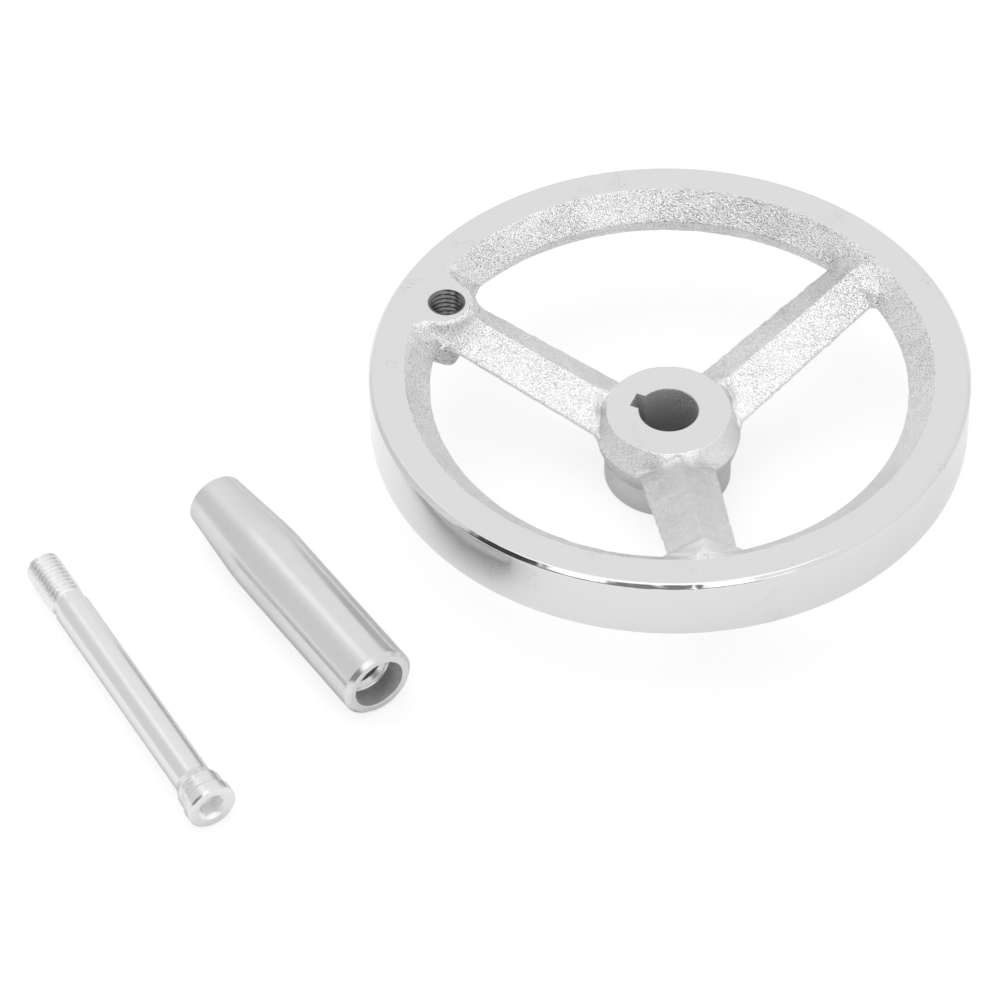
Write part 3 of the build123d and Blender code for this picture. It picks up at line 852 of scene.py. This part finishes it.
def sleeve_grid():
    """Outside from mouth to tail, then the bore, the seat and the pocket back to the mouth."""
    corners = [
        (SLEEVE_RADIUS - 1.1, 0.0, 0.12, 0.6, TURNED),
        (SLEEVE_RADIUS, 1.1, 0.12, 1.6, TURNED),
        (SLEEVE_RADIUS, 56.0, 90.0, 1.6, TURNED),
        (SLEEVE_TAIL + 0.4, SLEEVE_LENGTH - 0.4, 0.1, 0.4, TURNED),
        (SLEEVE_TAIL, SLEEVE_LENGTH, 0.1, 1.0, TURNED),
        (SLEEVE_BORE, SLEEVE_LENGTH, 0.15, 4.0, BORED),
        (SLEEVE_BORE, SEAT_END, 0.25, 0.5, PAINTED_SHADE_AND_SEAT),
        (6.35, 6.86, 0.0, 0.5, CAST),
        (6.85, 6.51, 0.0, 0.5, TURNED),
        (POCKET_RADIUS, SEAT_START, 0.3, 1.2, CAST),
        (POCKET_RADIUS, 0.0, 0.25, 0.6, TURNED),
    ]
    profile, zones = rounded_profile(corners, arc_points=7)
    turn = np.linspace(0, 2 * math.pi, SLEEVE_STEPS, endpoint=False)
    return along_x(profile[:, 1, None], profile[:, 0, None], turn), zones, True


print("the sleeve's grid is", sleeve_grid()[0].shape[:2])

# %% [markdown]
# ## The spindle
# The spindle is turned too. Its end carries the same thread as the boss, and its head has a
# hexagon socket: one radius for each direction again, this time six flats. So socket, head, shank
# and thread can all be rings of one grid, and no hole has to be cut.

# %% Rings of the spindle
ACROSS_FLATS, SOCKET_DEPTH, SOCKET_TIP, SOCKET_MOUTH = 6.0, 4.9, 6.1, 4.1
HEAD_RADIUS, HEAD_LENGTH, HEAD_FACE, SHANK_START, SHANK_RADIUS = 6.65, 3.2, 5.0, 7.6, 6.1
NECK_RADIUS, SHANK_END, THREAD_START, SPINDLE_END = 4.45, 80.7, 83.4, 99.9
CREST_RADIUS, RIDGE_FOOT, RIDGE_RISE, TIP_CHAMFER = 4.9, 4.08, 0.82, 1.2


def hexagon_radius(turn, flats):
    """Radius of a hexagon in each direction, from its width across flats."""
    return flats / 2 / np.cos((turn % (math.pi / 3)) - math.pi / 6)


def socket_rows(turn):
    """The socket as (length, radius) rings: its tip, its floor, its flats, and its edge, where
    the flats run out in a cone, and then the head's face."""
    flats = hexagon_radius(turn, ACROSS_FLATS)
    sink = np.clip(4.0 - flats, 0, None)
    return [
        (SOCKET_TIP, 0.0), (SOCKET_DEPTH + 0.1, flats * 0.93), (SOCKET_DEPTH, flats),
        (sink + 0.15, flats), (sink, flats + 0.06), (0.03, SOCKET_MOUTH - 0.13),
        (0.0, SOCKET_MOUTH), (0.0, HEAD_FACE),
    ]


def shank_rows():
    """Head, shank and neck, from a profile with small rounds."""
    corners = [
        (HEAD_FACE, 0.0, 0.0, 0.5, TURNED),
        (HEAD_RADIUS - 0.5, 0.0, 0.12, 0.4, TURNED),
        (HEAD_RADIUS, 0.5, 0.12, 0.6, TURNED),
        (HEAD_RADIUS, HEAD_LENGTH, 0.15, 0.4, TURNED),
        (SHANK_RADIUS, HEAD_LENGTH + 0.55, 0.2, 1.0, TURNED),
        (SHANK_RADIUS, SHANK_START, 0.6, 0.8, TURNED),
        (CREST_RADIUS, 10.4, 1.2, 2.0, TURNED),
        (CREST_RADIUS, SHANK_END, 0.08, 0.3, TURNED),
        (NECK_RADIUS, SHANK_END + 0.05, 0.1, 1.0, TURNED),
        (NECK_RADIUS, THREAD_START, 0.0, 0.3, TURNED),
    ]
    profile, _ = rounded_profile(corners, closed=False, arc_points=5)
    return [(length, radius) for radius, length in profile[1:]]


def thread_rows(turn):
    """The thread grows out of the neck and is chamfered at its tip, where the grid closes."""
    along = np.arange(THREAD_START + 0.05, SPINDLE_END, THREAD_STEP)[:, None]
    ridge = RIDGE_FOOT + RIDGE_RISE * thread_wave(along, turn)
    cut = NECK_RADIUS + (ridge - NECK_RADIUS) * ramp(along - THREAD_START, 1.2)
    chamfer = CREST_RADIUS - np.clip(along - (SPINDLE_END - TIP_CHAMFER), 0, None)
    rows = list(zip(along[:, 0], np.minimum(cut, chamfer)))
    return rows + [(SPINDLE_END, 3.65), (SPINDLE_END, 1.5), (SPINDLE_END, 0.0)]


print("head, shank and neck take", len(shank_rows()), "rings")

# %% [markdown]
# ### The spindle's surface, and where the handle lies
# The rings are stacked into one grid. Both handle pieces are worked out along X and then laid
# down: tipped a little if they don't lie level, turned to their heading, and moved.

# %% Spindle along +X, and laying down
SPINDLE_STEPS, SOCKET_STRIPS = 132, 5


def spindle_grid():
    """Socket, head, shank, neck and thread, as rings along the axis."""
    turn = np.linspace(0, 2 * math.pi, SPINDLE_STEPS, endpoint=False)
    rows = socket_rows(turn) + shank_rows() + thread_rows(turn)
    lengths = np.array([np.broadcast_to(length, turn.shape) for length, _ in rows])
    radii = np.array([np.broadcast_to(radius, turn.shape) for _, radius in rows])
    zones = np.where(lengths.mean(axis=1) > SHANK_END + 2.3, CAST, TURNED)
    zones[:SOCKET_STRIPS] = BORED
    return along_x(lengths, radii, turn), zones, False


def laid(grid, at, height, heading, dip=0.0):
    """A grid along +X, tipped down by the dip, turned to its heading and moved to its place."""
    surface, zones, close_rows = grid
    c, s = math.cos(dip), math.sin(dip)
    tipped = surface @ np.array([[c, 0, -s], [0, 1, 0], [s, 0, c]])
    return turned_points(tipped, math.radians(heading)) + np.array([*at, height]), zones, close_rows


print("the spindle's grid is", spindle_grid()[0].shape[:2])

# %% [markdown]
# ## Finishes
# Two effects are shared. Foundry grain is the sand's print under the plating, a mix of fine and
# coarse noise with a few pits. Handling marks are faint smudges and small patches of pin-holes on
# bright metal. They could be painted on, but noise in space has no seams and fits every piece.
# Each is a node group that puts out heights and masks, and each material uses them its own way.

# %% Shader helpers
def new_group(name, inputs, outputs):
    """An empty shader node group with float inputs and outputs."""
    group = bpy.data.node_groups.new(name, "ShaderNodeTree")
    for title, value in inputs:
        socket = group.interface.new_socket(title, in_out="INPUT", socket_type="NodeSocketFloat")
        socket.default_value = value
    for title in outputs:
        group.interface.new_socket(title, in_out="OUTPUT", socket_type="NodeSocketFloat")
    return group, group.nodes.new("NodeGroupInput"), group.nodes.new("NodeGroupOutput")


def noise(tree, vector, scale, detail=2.0, rough=0.55):
    """A noise texture on the given coordinates, returning its grey output."""
    node = tree.nodes.new("ShaderNodeTexNoise")
    node.inputs["Detail"].default_value = detail
    node.inputs["Roughness"].default_value = rough
    if isinstance(scale, float):
        node.inputs["Scale"].default_value = scale
    else:
        tree.links.new(scale, node.inputs["Scale"])
    tree.links.new(vector, node.inputs["Vector"])
    return node.outputs["Fac"]


def remap(tree, value, low, high, to_low, to_high):
    """A value carried from one range to another and held at the ends."""
    node = tree.nodes.new("ShaderNodeMapRange")
    tree.links.new(value, node.inputs["Value"])
    titles = "From Min", "From Max", "To Min", "To Max"
    for title, number in zip(titles, (low, high, to_low, to_high)):
        node.inputs[title].default_value = number
    return node.outputs["Result"]


def maths(tree, kind, first, second):
    """A Math node between a socket and a socket or number."""
    node = tree.nodes.new("ShaderNodeMath")
    node.operation = kind
    for socket, value in zip(node.inputs, (first, second)):
        if isinstance(value, (int, float)):
            socket.default_value = value
        else:
            tree.links.new(value, socket)
    return node.outputs["Value"]


def give_out(group, result, outputs):
    """Join each named output of a group to its value."""
    for title, value in outputs.items():
        group.links.new(value, result.inputs[title])
    return group


# %% [markdown]
# ### Foundry grain
# The skin of sand iron is two sizes of bumps laid over each other. The deepest of the fine ones are
# painted dark, a painted shade for the hollows between the grains, so the same noise gives both the
# height and the pits. A bump texture alone would leave them as bright as the rest.

# %% Foundry grain
def build_grain_group():
    """Foundry grain: Height of the sand print, from two sizes of grain, and a mask of Pits, the
    hollows between the grains, which the materials paint dark as a painted shade. There are more of
    them in patches, and towards the rim's far side, where more painted shade is added. Mouth grows
    with height towards the front end of the bore, and is used to paint the bores lighter higher up,
    a painted light."""
    group, source, result = new_group("foundry_grain", [("Fine", 4600.0), ("Coarse", 2300.0)],
                                      ["Height", "Pits", "Mouth"])
    place = group.nodes.new("ShaderNodeTexCoord").outputs["Object"]
    fine = noise(group, place, source.outputs["Fine"], 1.0, 0.5)
    coarse = noise(group, place, source.outputs["Coarse"], 1.0, 0.5)
    split = group.nodes.new("ShaderNodeSeparateXYZ")
    group.links.new(place, split.inputs[0])
    # More pits are painted towards the far side: painted shade.
    far_side_shade = remap(group, split.outputs["Y"], -0.02, 0.064, 0.07, 0.14)
    patches = remap(group, noise(group, place, 70.0, 2.0), 0.38, 0.60, -0.03, 0.01)
    sunk = maths(group, "SUBTRACT", fine, maths(group, "ADD", far_side_shade, patches))
    pits = remap(group, sunk, 0.365, 0.205, 0.0, 1.0)
    height = maths(group, "ADD", fine, maths(group, "MULTIPLY", coarse, 0.8))
    # Mouth paints the bores lighter higher up: a painted light where more light gets in.
    mouth = remap(group, split.outputs["Z"], 0.010, 0.0235, 0.0, 1.0)
    return give_out(group, result, {"Height": height, "Pits": pits, "Mouth": mouth})


GRAIN = build_grain_group()
print("foundry grain has", len(GRAIN.nodes), "nodes")

# %% [markdown]
# ### Handling marks
# A plated face isn't a perfect mirror. Fingers leave broad smudges that are a little rougher, the
# polish leaves slow waves, and in a few patches the plating has pin-holes. Two masks and one
# height are enough for that.

# %% Handling marks
def build_marks_group():
    """Handling marks: a Smudge mask, a Height of slow waves, and patches of small Pits."""
    outputs = ["Smudge", "Height", "Pits"]
    group, source, result = new_group("handling_marks", [("Size", 38.0)], outputs)
    place = group.nodes.new("ShaderNodeTexCoord").outputs["Object"]
    broad = noise(group, place, source.outputs["Size"], 3.0, 0.6)
    smudge = remap(group, broad, 0.42, 0.72, 0.0, 1.0)
    wave = noise(group, place, 90.0, 1.0)
    where = remap(group, noise(group, place, 75.0, 2.0), 0.60, 0.70, 0.0, 1.0)
    holes = remap(group, noise(group, place, 1300.0, 2.0), 0.48, 0.66, 0.0, 1.0)
    pits = maths(group, "MULTIPLY", holes, where)
    height = maths(group, "SUBTRACT", wave, maths(group, "MULTIPLY", pits, 0.4))
    return give_out(group, result, {"Smudge": smudge, "Height": height, "Pits": pits})


MARKS = build_marks_group()
print("handling marks have", len(MARKS.nodes), "nodes")

# %% [markdown]
# ## Materials
# Plated metal has no colour of its own beyond a light grey, so all depends on how sharply it
# mirrors. Bright faces are smooth with faint smudges, and cast faces are the same metal over a rough
# skin. The hub's register and the band above it, and the lug under the boss, are painted a darker
# grey: a painted shade for the shadowed floor that they mirror. The bore and the hole's thread are
# painted dark, a painted shade for the inside of the holes. Sleeve and spindle are plated less
# brightly.
# The same metal could be mixed anew for each, but one function keeps them all alike.

# %% Metals
def metal(name, grey, group, relief, rough, tint=(), distance=0.0002, edge=1.0, size=None):
    """A grey metal whose relief, roughness and tint come from a shared group. Rough is a mask
    with the roughness at its 0 and its 1, and tint is a mask with the grey at its 1. Edge is how
    much of the extra brightness at a grazing view is left, which is less on dull plating."""
    material = bpy.data.materials.new(name)
    material.use_nodes = True
    tree = material.node_tree
    shader = tree.nodes["Principled BSDF"]
    shader.inputs["Metallic"].default_value = 1.0
    shader.inputs["Base Color"].default_value = (grey, grey, grey, 1)
    shader.inputs["Specular Tint"].default_value = (edge, edge, edge, 1)
    effect = tree.nodes.new("ShaderNodeGroup")
    effect.node_tree = group
    if size is not None:
        effect.inputs["Size"].default_value = size
    bump = tree.nodes.new("ShaderNodeBump")
    bump.inputs["Strength"].default_value = relief
    bump.inputs["Distance"].default_value = distance
    tree.links.new(effect.outputs["Height"], bump.inputs["Height"])
    tree.links.new(bump.outputs["Normal"], shader.inputs["Normal"])
    mask, low, high = rough
    roughness = remap(tree, effect.outputs[mask], 0, 1, low, high)
    tree.links.new(roughness, shader.inputs["Roughness"])
    if tint:
        mask, level = tint
        mix = tree.nodes.new("ShaderNodeMix")
        mix.data_type = "RGBA"
        mix.inputs["A"].default_value = (grey, grey, grey, 1)
        mix.inputs["B"].default_value = (level, level, level, 1)
        tree.links.new(effect.outputs[mask], mix.inputs["Factor"])
        tree.links.new(mix.outputs["Result"], shader.inputs["Base Color"])
    return material


for group in (GRAIN, MARKS):
    outputs = [item.name for item in group.interface.items_tree if item.in_out == "OUTPUT"]
    print(group.name, "puts out", outputs)

# %% [markdown]
# ### The twelve finishes
# Each line gives a finish its grey, its group, the strength of its relief, and how its masks make
# it rougher and change its grey. They could be made apart, but in one list they can be compared.

# %% Finishes of wheel and handle
bright_plate = metal("bright_plate", 0.72, MARKS, 0.05, ("Smudge", 0.07, 0.16), ("Pits", 0.62))
cast_plate = metal("cast_plate", 0.885, GRAIN, 1.0, ("Pits", 0.15, 0.35), ("Pits", 0.08),
                   distance=0.00014)
# A darker cast grey, painted shade for the shadowed floor that band and lug mirror. Its Pits tint
# paints the grain's hollows dark, which is painted shade too.
painted_shade_cast = metal("painted_shade_cast", 0.68, GRAIN, 1.0, ("Pits", 0.2, 0.4), ("Pits", 0.06),
                  distance=0.00022)
# A darker turned grey, painted shade for the shadowed floor that the register mirrors.
painted_shade_bright = metal("painted_shade_bright", 0.60, MARKS, 0.05, ("Smudge", 0.12, 0.22), ("Smudge", 0.56))
# dark_bore is painted dark, a painted shade inside the bores, and the Mouth mask paints it lighter
# towards the top, a painted light.
dark_bore = metal("dark_bore", 0.40, GRAIN, 1.0, ("Pits", 0.45, 0.7), ("Mouth", 0.72),
                  distance=0.0004)
# thread_metal is painted nearly black, a painted shade inside the tapped hole.
thread_metal = metal("thread_metal", 0.18, MARKS, 0.1, ("Smudge", 0.25, 0.4))
sleeve_plate = metal("sleeve_plate", 0.71, MARKS, 0.03, ("Smudge", 0.18, 0.27), ("Smudge", 0.67),
                     edge=0.7)
pocket_steel = metal("pocket_steel", 0.80, MARKS, 0.1, ("Smudge", 0.45, 0.6), ("Smudge", 0.66),
                     size=160.0)
seat_steel = metal("seat_steel", 0.66, MARKS, 0.06, ("Smudge", 0.2, 0.3))
spindle_plate = metal("spindle_plate", 0.77, MARKS, 0.06, ("Smudge", 0.17, 0.28), ("Pits", 0.60),
                      edge=0.7)
spindle_satin = metal("spindle_satin", 0.86, MARKS, 0.1, ("Smudge", 0.36, 0.46))
socket_plate = metal("socket_plate", 0.95, MARKS, 0.1, ("Smudge", 0.55, 0.75))
print("materials:", [m.name for m in bpy.data.materials])

# %% [markdown]
# ## The wheel's four pieces
# The casting is one solid, but its look is made as rim, hub, spokes and boss, because each has
# its own kind of grid. They could be joined into one mesh, but kept apart they are easier to
# change, and their skins still meet in the hollows. Each is declared: what it rides on, and what
# it stands for. Its materials stand in the order of the zone numbers.

wheel_parts = [
    ("wheel_rim", [wheel_rim], [bright_plate, cast_plate]),
    ("wheel_hub", [wheel_hub], [bright_plate, cast_plate, dark_bore, painted_shade_cast, painted_shade_bright]),
    ("wheel_spokes", wheel_spokes, [bright_plate, cast_plate]),
    ("wheel_boss", [wheel_boss, tapped_hole],
     [bright_plate, cast_plate, thread_metal, painted_shade_cast]),
]
for name, grids, materials in wheel_parts:
    piece = make_piece(name, grids, materials)
    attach(piece, "root")
    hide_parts("handwheel")

# %% [markdown]
# ## The two loose pieces
# The sleeve and the spindle lie on the same level as the wheel. The sleeve rests on its wide
# part. The spindle rests on its head and the tip of its thread, so it dips a little towards the
# thinner end, by an angle whose tangent is the fall over the length between those two places.
# They could be placed as objects, but the place goes into the mesh, as it does in the solids. On
# the handle the zone numbers stand for other finishes: 1 is the pocket's on the sleeve and the
# thread's on the spindle, 2 is the sleeve's bore and the spindle's socket, and 3 is the seat's.

SLEEVE_PLACE, SLEEVE_HEADING = (-77.2, -85.3), 123.4
SPINDLE_PLACE, SPINDLE_HEADING = (-119.2, -123.5), 118.9
fall = HEAD_RADIUS - CREST_RADIUS
SPINDLE_DIP = math.atan2(fall, SPINDLE_END - TIP_CHAMFER - HEAD_LENGTH)
spindle_height = HEAD_LENGTH * math.sin(SPINDLE_DIP) + HEAD_RADIUS * math.cos(SPINDLE_DIP)
sleeve = laid(sleeve_grid(), SLEEVE_PLACE, SLEEVE_RADIUS, SLEEVE_HEADING)
sleeve = make_piece("sleeve", [sleeve], [sleeve_plate, pocket_steel, dark_bore, seat_steel])
spindle = laid(spindle_grid(), SPINDLE_PLACE, spindle_height, SPINDLE_HEADING, SPINDLE_DIP)
spindle = make_piece("spindle", [spindle], [spindle_plate, spindle_satin, socket_plate])
for piece, node in ((sleeve, "handle_sleeve"), (spindle, "handle_spindle")):
    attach(piece, "root")
    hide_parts(node)

# %% [markdown]
# ## Floor
# The object lies on a white table. What is seen of it is nearly white, its own shading keeps the
# soft shadow, and in the metal it is mirrored as a pale grey. One plain material can't be all of
# these at once, so each kind of ray meets its own mix of a matt surface and a glow.

# %% Floor
FLOOR_HALF = 2.5
# The floor's grey and glow for light that spreads, for mirrored rays and for the camera.
FLOOR_LOOKS = (0.8, 0.0), (0.96, 0.05), (0.3, 0.75)


def matt_glow(tree, grey, strength):
    """A matt grey surface with a glow added to it."""
    shade = tree.nodes.new("ShaderNodeBsdfDiffuse")
    shade.inputs["Color"].default_value = (grey, grey, grey, 1)
    glow = tree.nodes.new("ShaderNodeEmission")
    glow.inputs["Strength"].default_value = strength
    add = tree.nodes.new("ShaderNodeAddShader")
    tree.links.new(shade.outputs[0], add.inputs[0])
    tree.links.new(glow.outputs[0], add.inputs[1])
    return add.outputs[0]


def by_ray(tree, spread, mirrored, seen):
    """Three shaders in one: for rays that spread, for mirrored rays, and for the camera's."""
    path = tree.nodes.new("ShaderNodeLightPath")
    straight = path.outputs["Is Camera Ray"], path.outputs["Is Transmission Ray"]
    choices = (path.outputs["Is Glossy Ray"], mirrored), (maths(tree, "MAXIMUM", *straight), seen)
    shader = spread
    for factor, other in choices:
        mix = tree.nodes.new("ShaderNodeMixShader")
        for socket, source in zip(mix.inputs, (factor, shader, other)):
            tree.links.new(source, socket)
        shader = mix.outputs[0]
    return shader


def build_floor():
    """A wide square plane with the three looks."""
    mesh = bpy.data.meshes.new("floor")
    square = [(-1, -1), (1, -1), (1, 1), (-1, 1)]
    mesh.from_pydata([(x * FLOOR_HALF, y * FLOOR_HALF, 0) for x, y in square], [], [(0, 1, 2, 3)])
    floor = bpy.data.objects.new("floor", mesh)
    bpy.context.scene.collection.objects.link(floor)
    material = bpy.data.materials.new("floor_paper")
    material.use_nodes = True
    tree = material.node_tree
    tree.nodes.clear()
    out = tree.nodes.new("ShaderNodeOutputMaterial")
    shader = by_ray(tree, *[matt_glow(tree, *look) for look in FLOOR_LOOKS])
    tree.links.new(shader, out.inputs["Surface"])
    mesh.materials.append(material)
    return floor


build_floor()
print("the floor is", 2 * FLOOR_HALF, "m wide")

# %% [markdown]
# ## The studio round the wheel
# Bright metal shows its surroundings, so they matter more than the lamp. This is a pale room with
# two windows, a bank of light overhead and a dark room in front, and these give the slopes and the
# turned faces their bright and dark parts. It could be built of lamps and boards, but soft-edged
# cards in the world stand in no ray's way and cost no faces. Only mirrored rays see the cards.

# %% Cards
# Each card is its name, its left and right azimuth, its low and high elevation, how soft its
# edges are, in degrees, and its level. Azimuth is 0 in front of the wheel and grows to the right.
CARDS = [
    ("wall at the left", -125, -85, -4, 46, 12, 0.80),
    ("skirting at the left", -125, -85, -15, -3, 4, 0.66),
    ("lit corner behind left", -150, -126, 47, 60, 5, 1.20),
    ("overhead bank", -80, 76, 49, 70, 4, 1.60),
    ("top light", -181, 181, 76, 91, 4, 1.48),
    ("dark flag", -75, -47, -4, 46, 3, 0.06),
    ("left window", -47, -25, 36, 51, 2.5, 1.70),
    ("dark room in front", -25, 12, -2, 30, 3, 0.04),
    ("stand in front", -25, 12, 30, 47, 3, 0.25),
    ("right window", 12, 30, 36, 51, 2.5, 1.60),
    ("low front", -47, 30, -2, 34, 3, 0.30),
    ("low pane at the right", 8, 44, 22, 37, 3, 1.50),
]
HORIZON_LEVEL, SKY_EXTRA, SOFT_LEVEL = 0.92, 0.08, 0.85
print("the studio has", len(CARDS), "cards")

# %% [markdown]
# ### Hanging the cards
# A ray that leaves the metal has a direction, and that gives an azimuth and an elevation. Inside a
# card's four sides its own level replaces what was there. A picture wrapped round the world would
# do the same, but a few numbers are easier to move than a picture.

# %% World
def ramp_step(tree, value, edge, soft):
    """0 below an edge and 1 above it, turning smoothly over twice the softness."""
    node = tree.nodes.new("ShaderNodeMapRange")
    node.interpolation_type = "SMOOTHSTEP"
    node.inputs["From Min"].default_value = edge - soft
    node.inputs["From Max"].default_value = edge + soft
    tree.links.new(value, node.inputs["Value"])
    return node.outputs["Result"]


def sky_angles(tree):
    """Azimuth and elevation in degrees of the direction in which a ray leaves the object."""
    place = tree.nodes.new("ShaderNodeTexCoord").outputs["Generated"]
    split = tree.nodes.new("ShaderNodeSeparateXYZ")
    tree.links.new(place, split.inputs[0])
    front = maths(tree, "MULTIPLY", split.outputs["Y"], -1.0)
    azimuth = maths(tree, "ARCTAN2", split.outputs["X"], front)
    elevation = maths(tree, "ARCSINE", split.outputs["Z"], 0.0)
    return maths(tree, "DEGREES", azimuth, 0.0), maths(tree, "DEGREES", elevation, 0.0)


def hung_card(tree, level, azimuth, elevation, card):
    """The level so far, replaced inside one soft-edged card by the card's own level."""
    _, left, right, low, high, soft, own = card
    mask = ramp_step(tree, azimuth, left, soft)
    sides = (azimuth, right, False), (elevation, low, True), (elevation, high, False)
    for value, edge, rising in sides:
        side = ramp_step(tree, value, edge, soft)
        side = side if rising else maths(tree, "SUBTRACT", 1.0, side)
        mask = maths(tree, "MULTIPLY", mask, side)
    change = maths(tree, "MULTIPLY", maths(tree, "SUBTRACT", own, level), mask)
    return maths(tree, "ADD", level, change)


def backdrop(tree, strength):
    """A white background, with a strength that is a number or a socket."""
    node = tree.nodes.new("ShaderNodeBackground")
    node.inputs["Color"].default_value = (1, 1, 1, 1)
    if isinstance(strength, float):
        node.inputs["Strength"].default_value = strength
    else:
        tree.links.new(strength, node.inputs["Strength"])
    return node.outputs[0]


def build_world():
    """White for the camera and for soft light, and the studio's cards for mirror reflections."""
    world = bpy.data.worlds.new("studio")
    bpy.context.scene.world = world
    world.use_nodes = True
    tree = world.node_tree
    tree.nodes.clear()
    azimuth, elevation = sky_angles(tree)
    higher = maths(tree, "MULTIPLY", ramp_step(tree, elevation, 20.0, 20.0), SKY_EXTRA)
    level = maths(tree, "ADD", higher, HORIZON_LEVEL)
    for card in CARDS:
        level = hung_card(tree, level, azimuth, elevation, card)
    looks = [backdrop(tree, strength) for strength in (SOFT_LEVEL, level, 1.0)]
    out = tree.nodes.new("ShaderNodeOutputWorld")
    tree.links.new(by_ray(tree, *looks), out.inputs["Surface"])
    return world


build_world()
print("the world has", len(bpy.context.scene.world.node_tree.nodes), "nodes")

# %% [markdown]
# ## Lamp and camera
# One large soft lamp above gives the faint shadow. It isn't mirrored, so it leaves no square of
# light in the metal. The camera looks down at about 46 degrees through a long lens, which keeps
# the rim's near and far sides almost the same size, and it is rolled by less than a degree.

# %% Lamp and camera
LAMP_SIDE, LAMP_POWER, LAMP_PLACE, LAMP_TURN = 1.2, 4.5, (-0.35, 0.25, 1.1), (-0.2, -0.3, 0)
EYE, LOOK_DOWN, ROLL = (-0.04549, -0.95095, 0.9671), 0.79892, -0.01338
SENSOR, LENS = 36.0, 180.0

lamp_data = bpy.data.lights.new("softbox", "AREA")
lamp_data.shape, lamp_data.size, lamp_data.size_y = "RECTANGLE", LAMP_SIDE, LAMP_SIDE
lamp_data.energy = LAMP_POWER
lamp = bpy.data.objects.new("softbox", lamp_data)
lamp.location, lamp.rotation_euler = LAMP_PLACE, LAMP_TURN
lamp.visible_glossy = False
bpy.context.scene.collection.objects.link(lamp)

camera_data = bpy.data.cameras.new("camera")
camera_data.sensor_width, camera_data.lens = SENSOR, LENS
camera_data.clip_start, camera_data.clip_end = 0.05, 20.0
camera = bpy.data.objects.new("camera", camera_data)
tilt = Matrix.Rotation(math.pi / 2 - LOOK_DOWN, 4, "X")
camera.matrix_world = Matrix.Translation(EYE) @ tilt @ Matrix.Rotation(ROLL, 4, "Z")
bpy.context.scene.collection.objects.link(camera)
bpy.context.scene.camera = camera
bpy.context.scene.view_settings.view_transform = "Standard"
print("the camera looks down at", round(math.degrees(LOOK_DOWN), 1), "degrees")
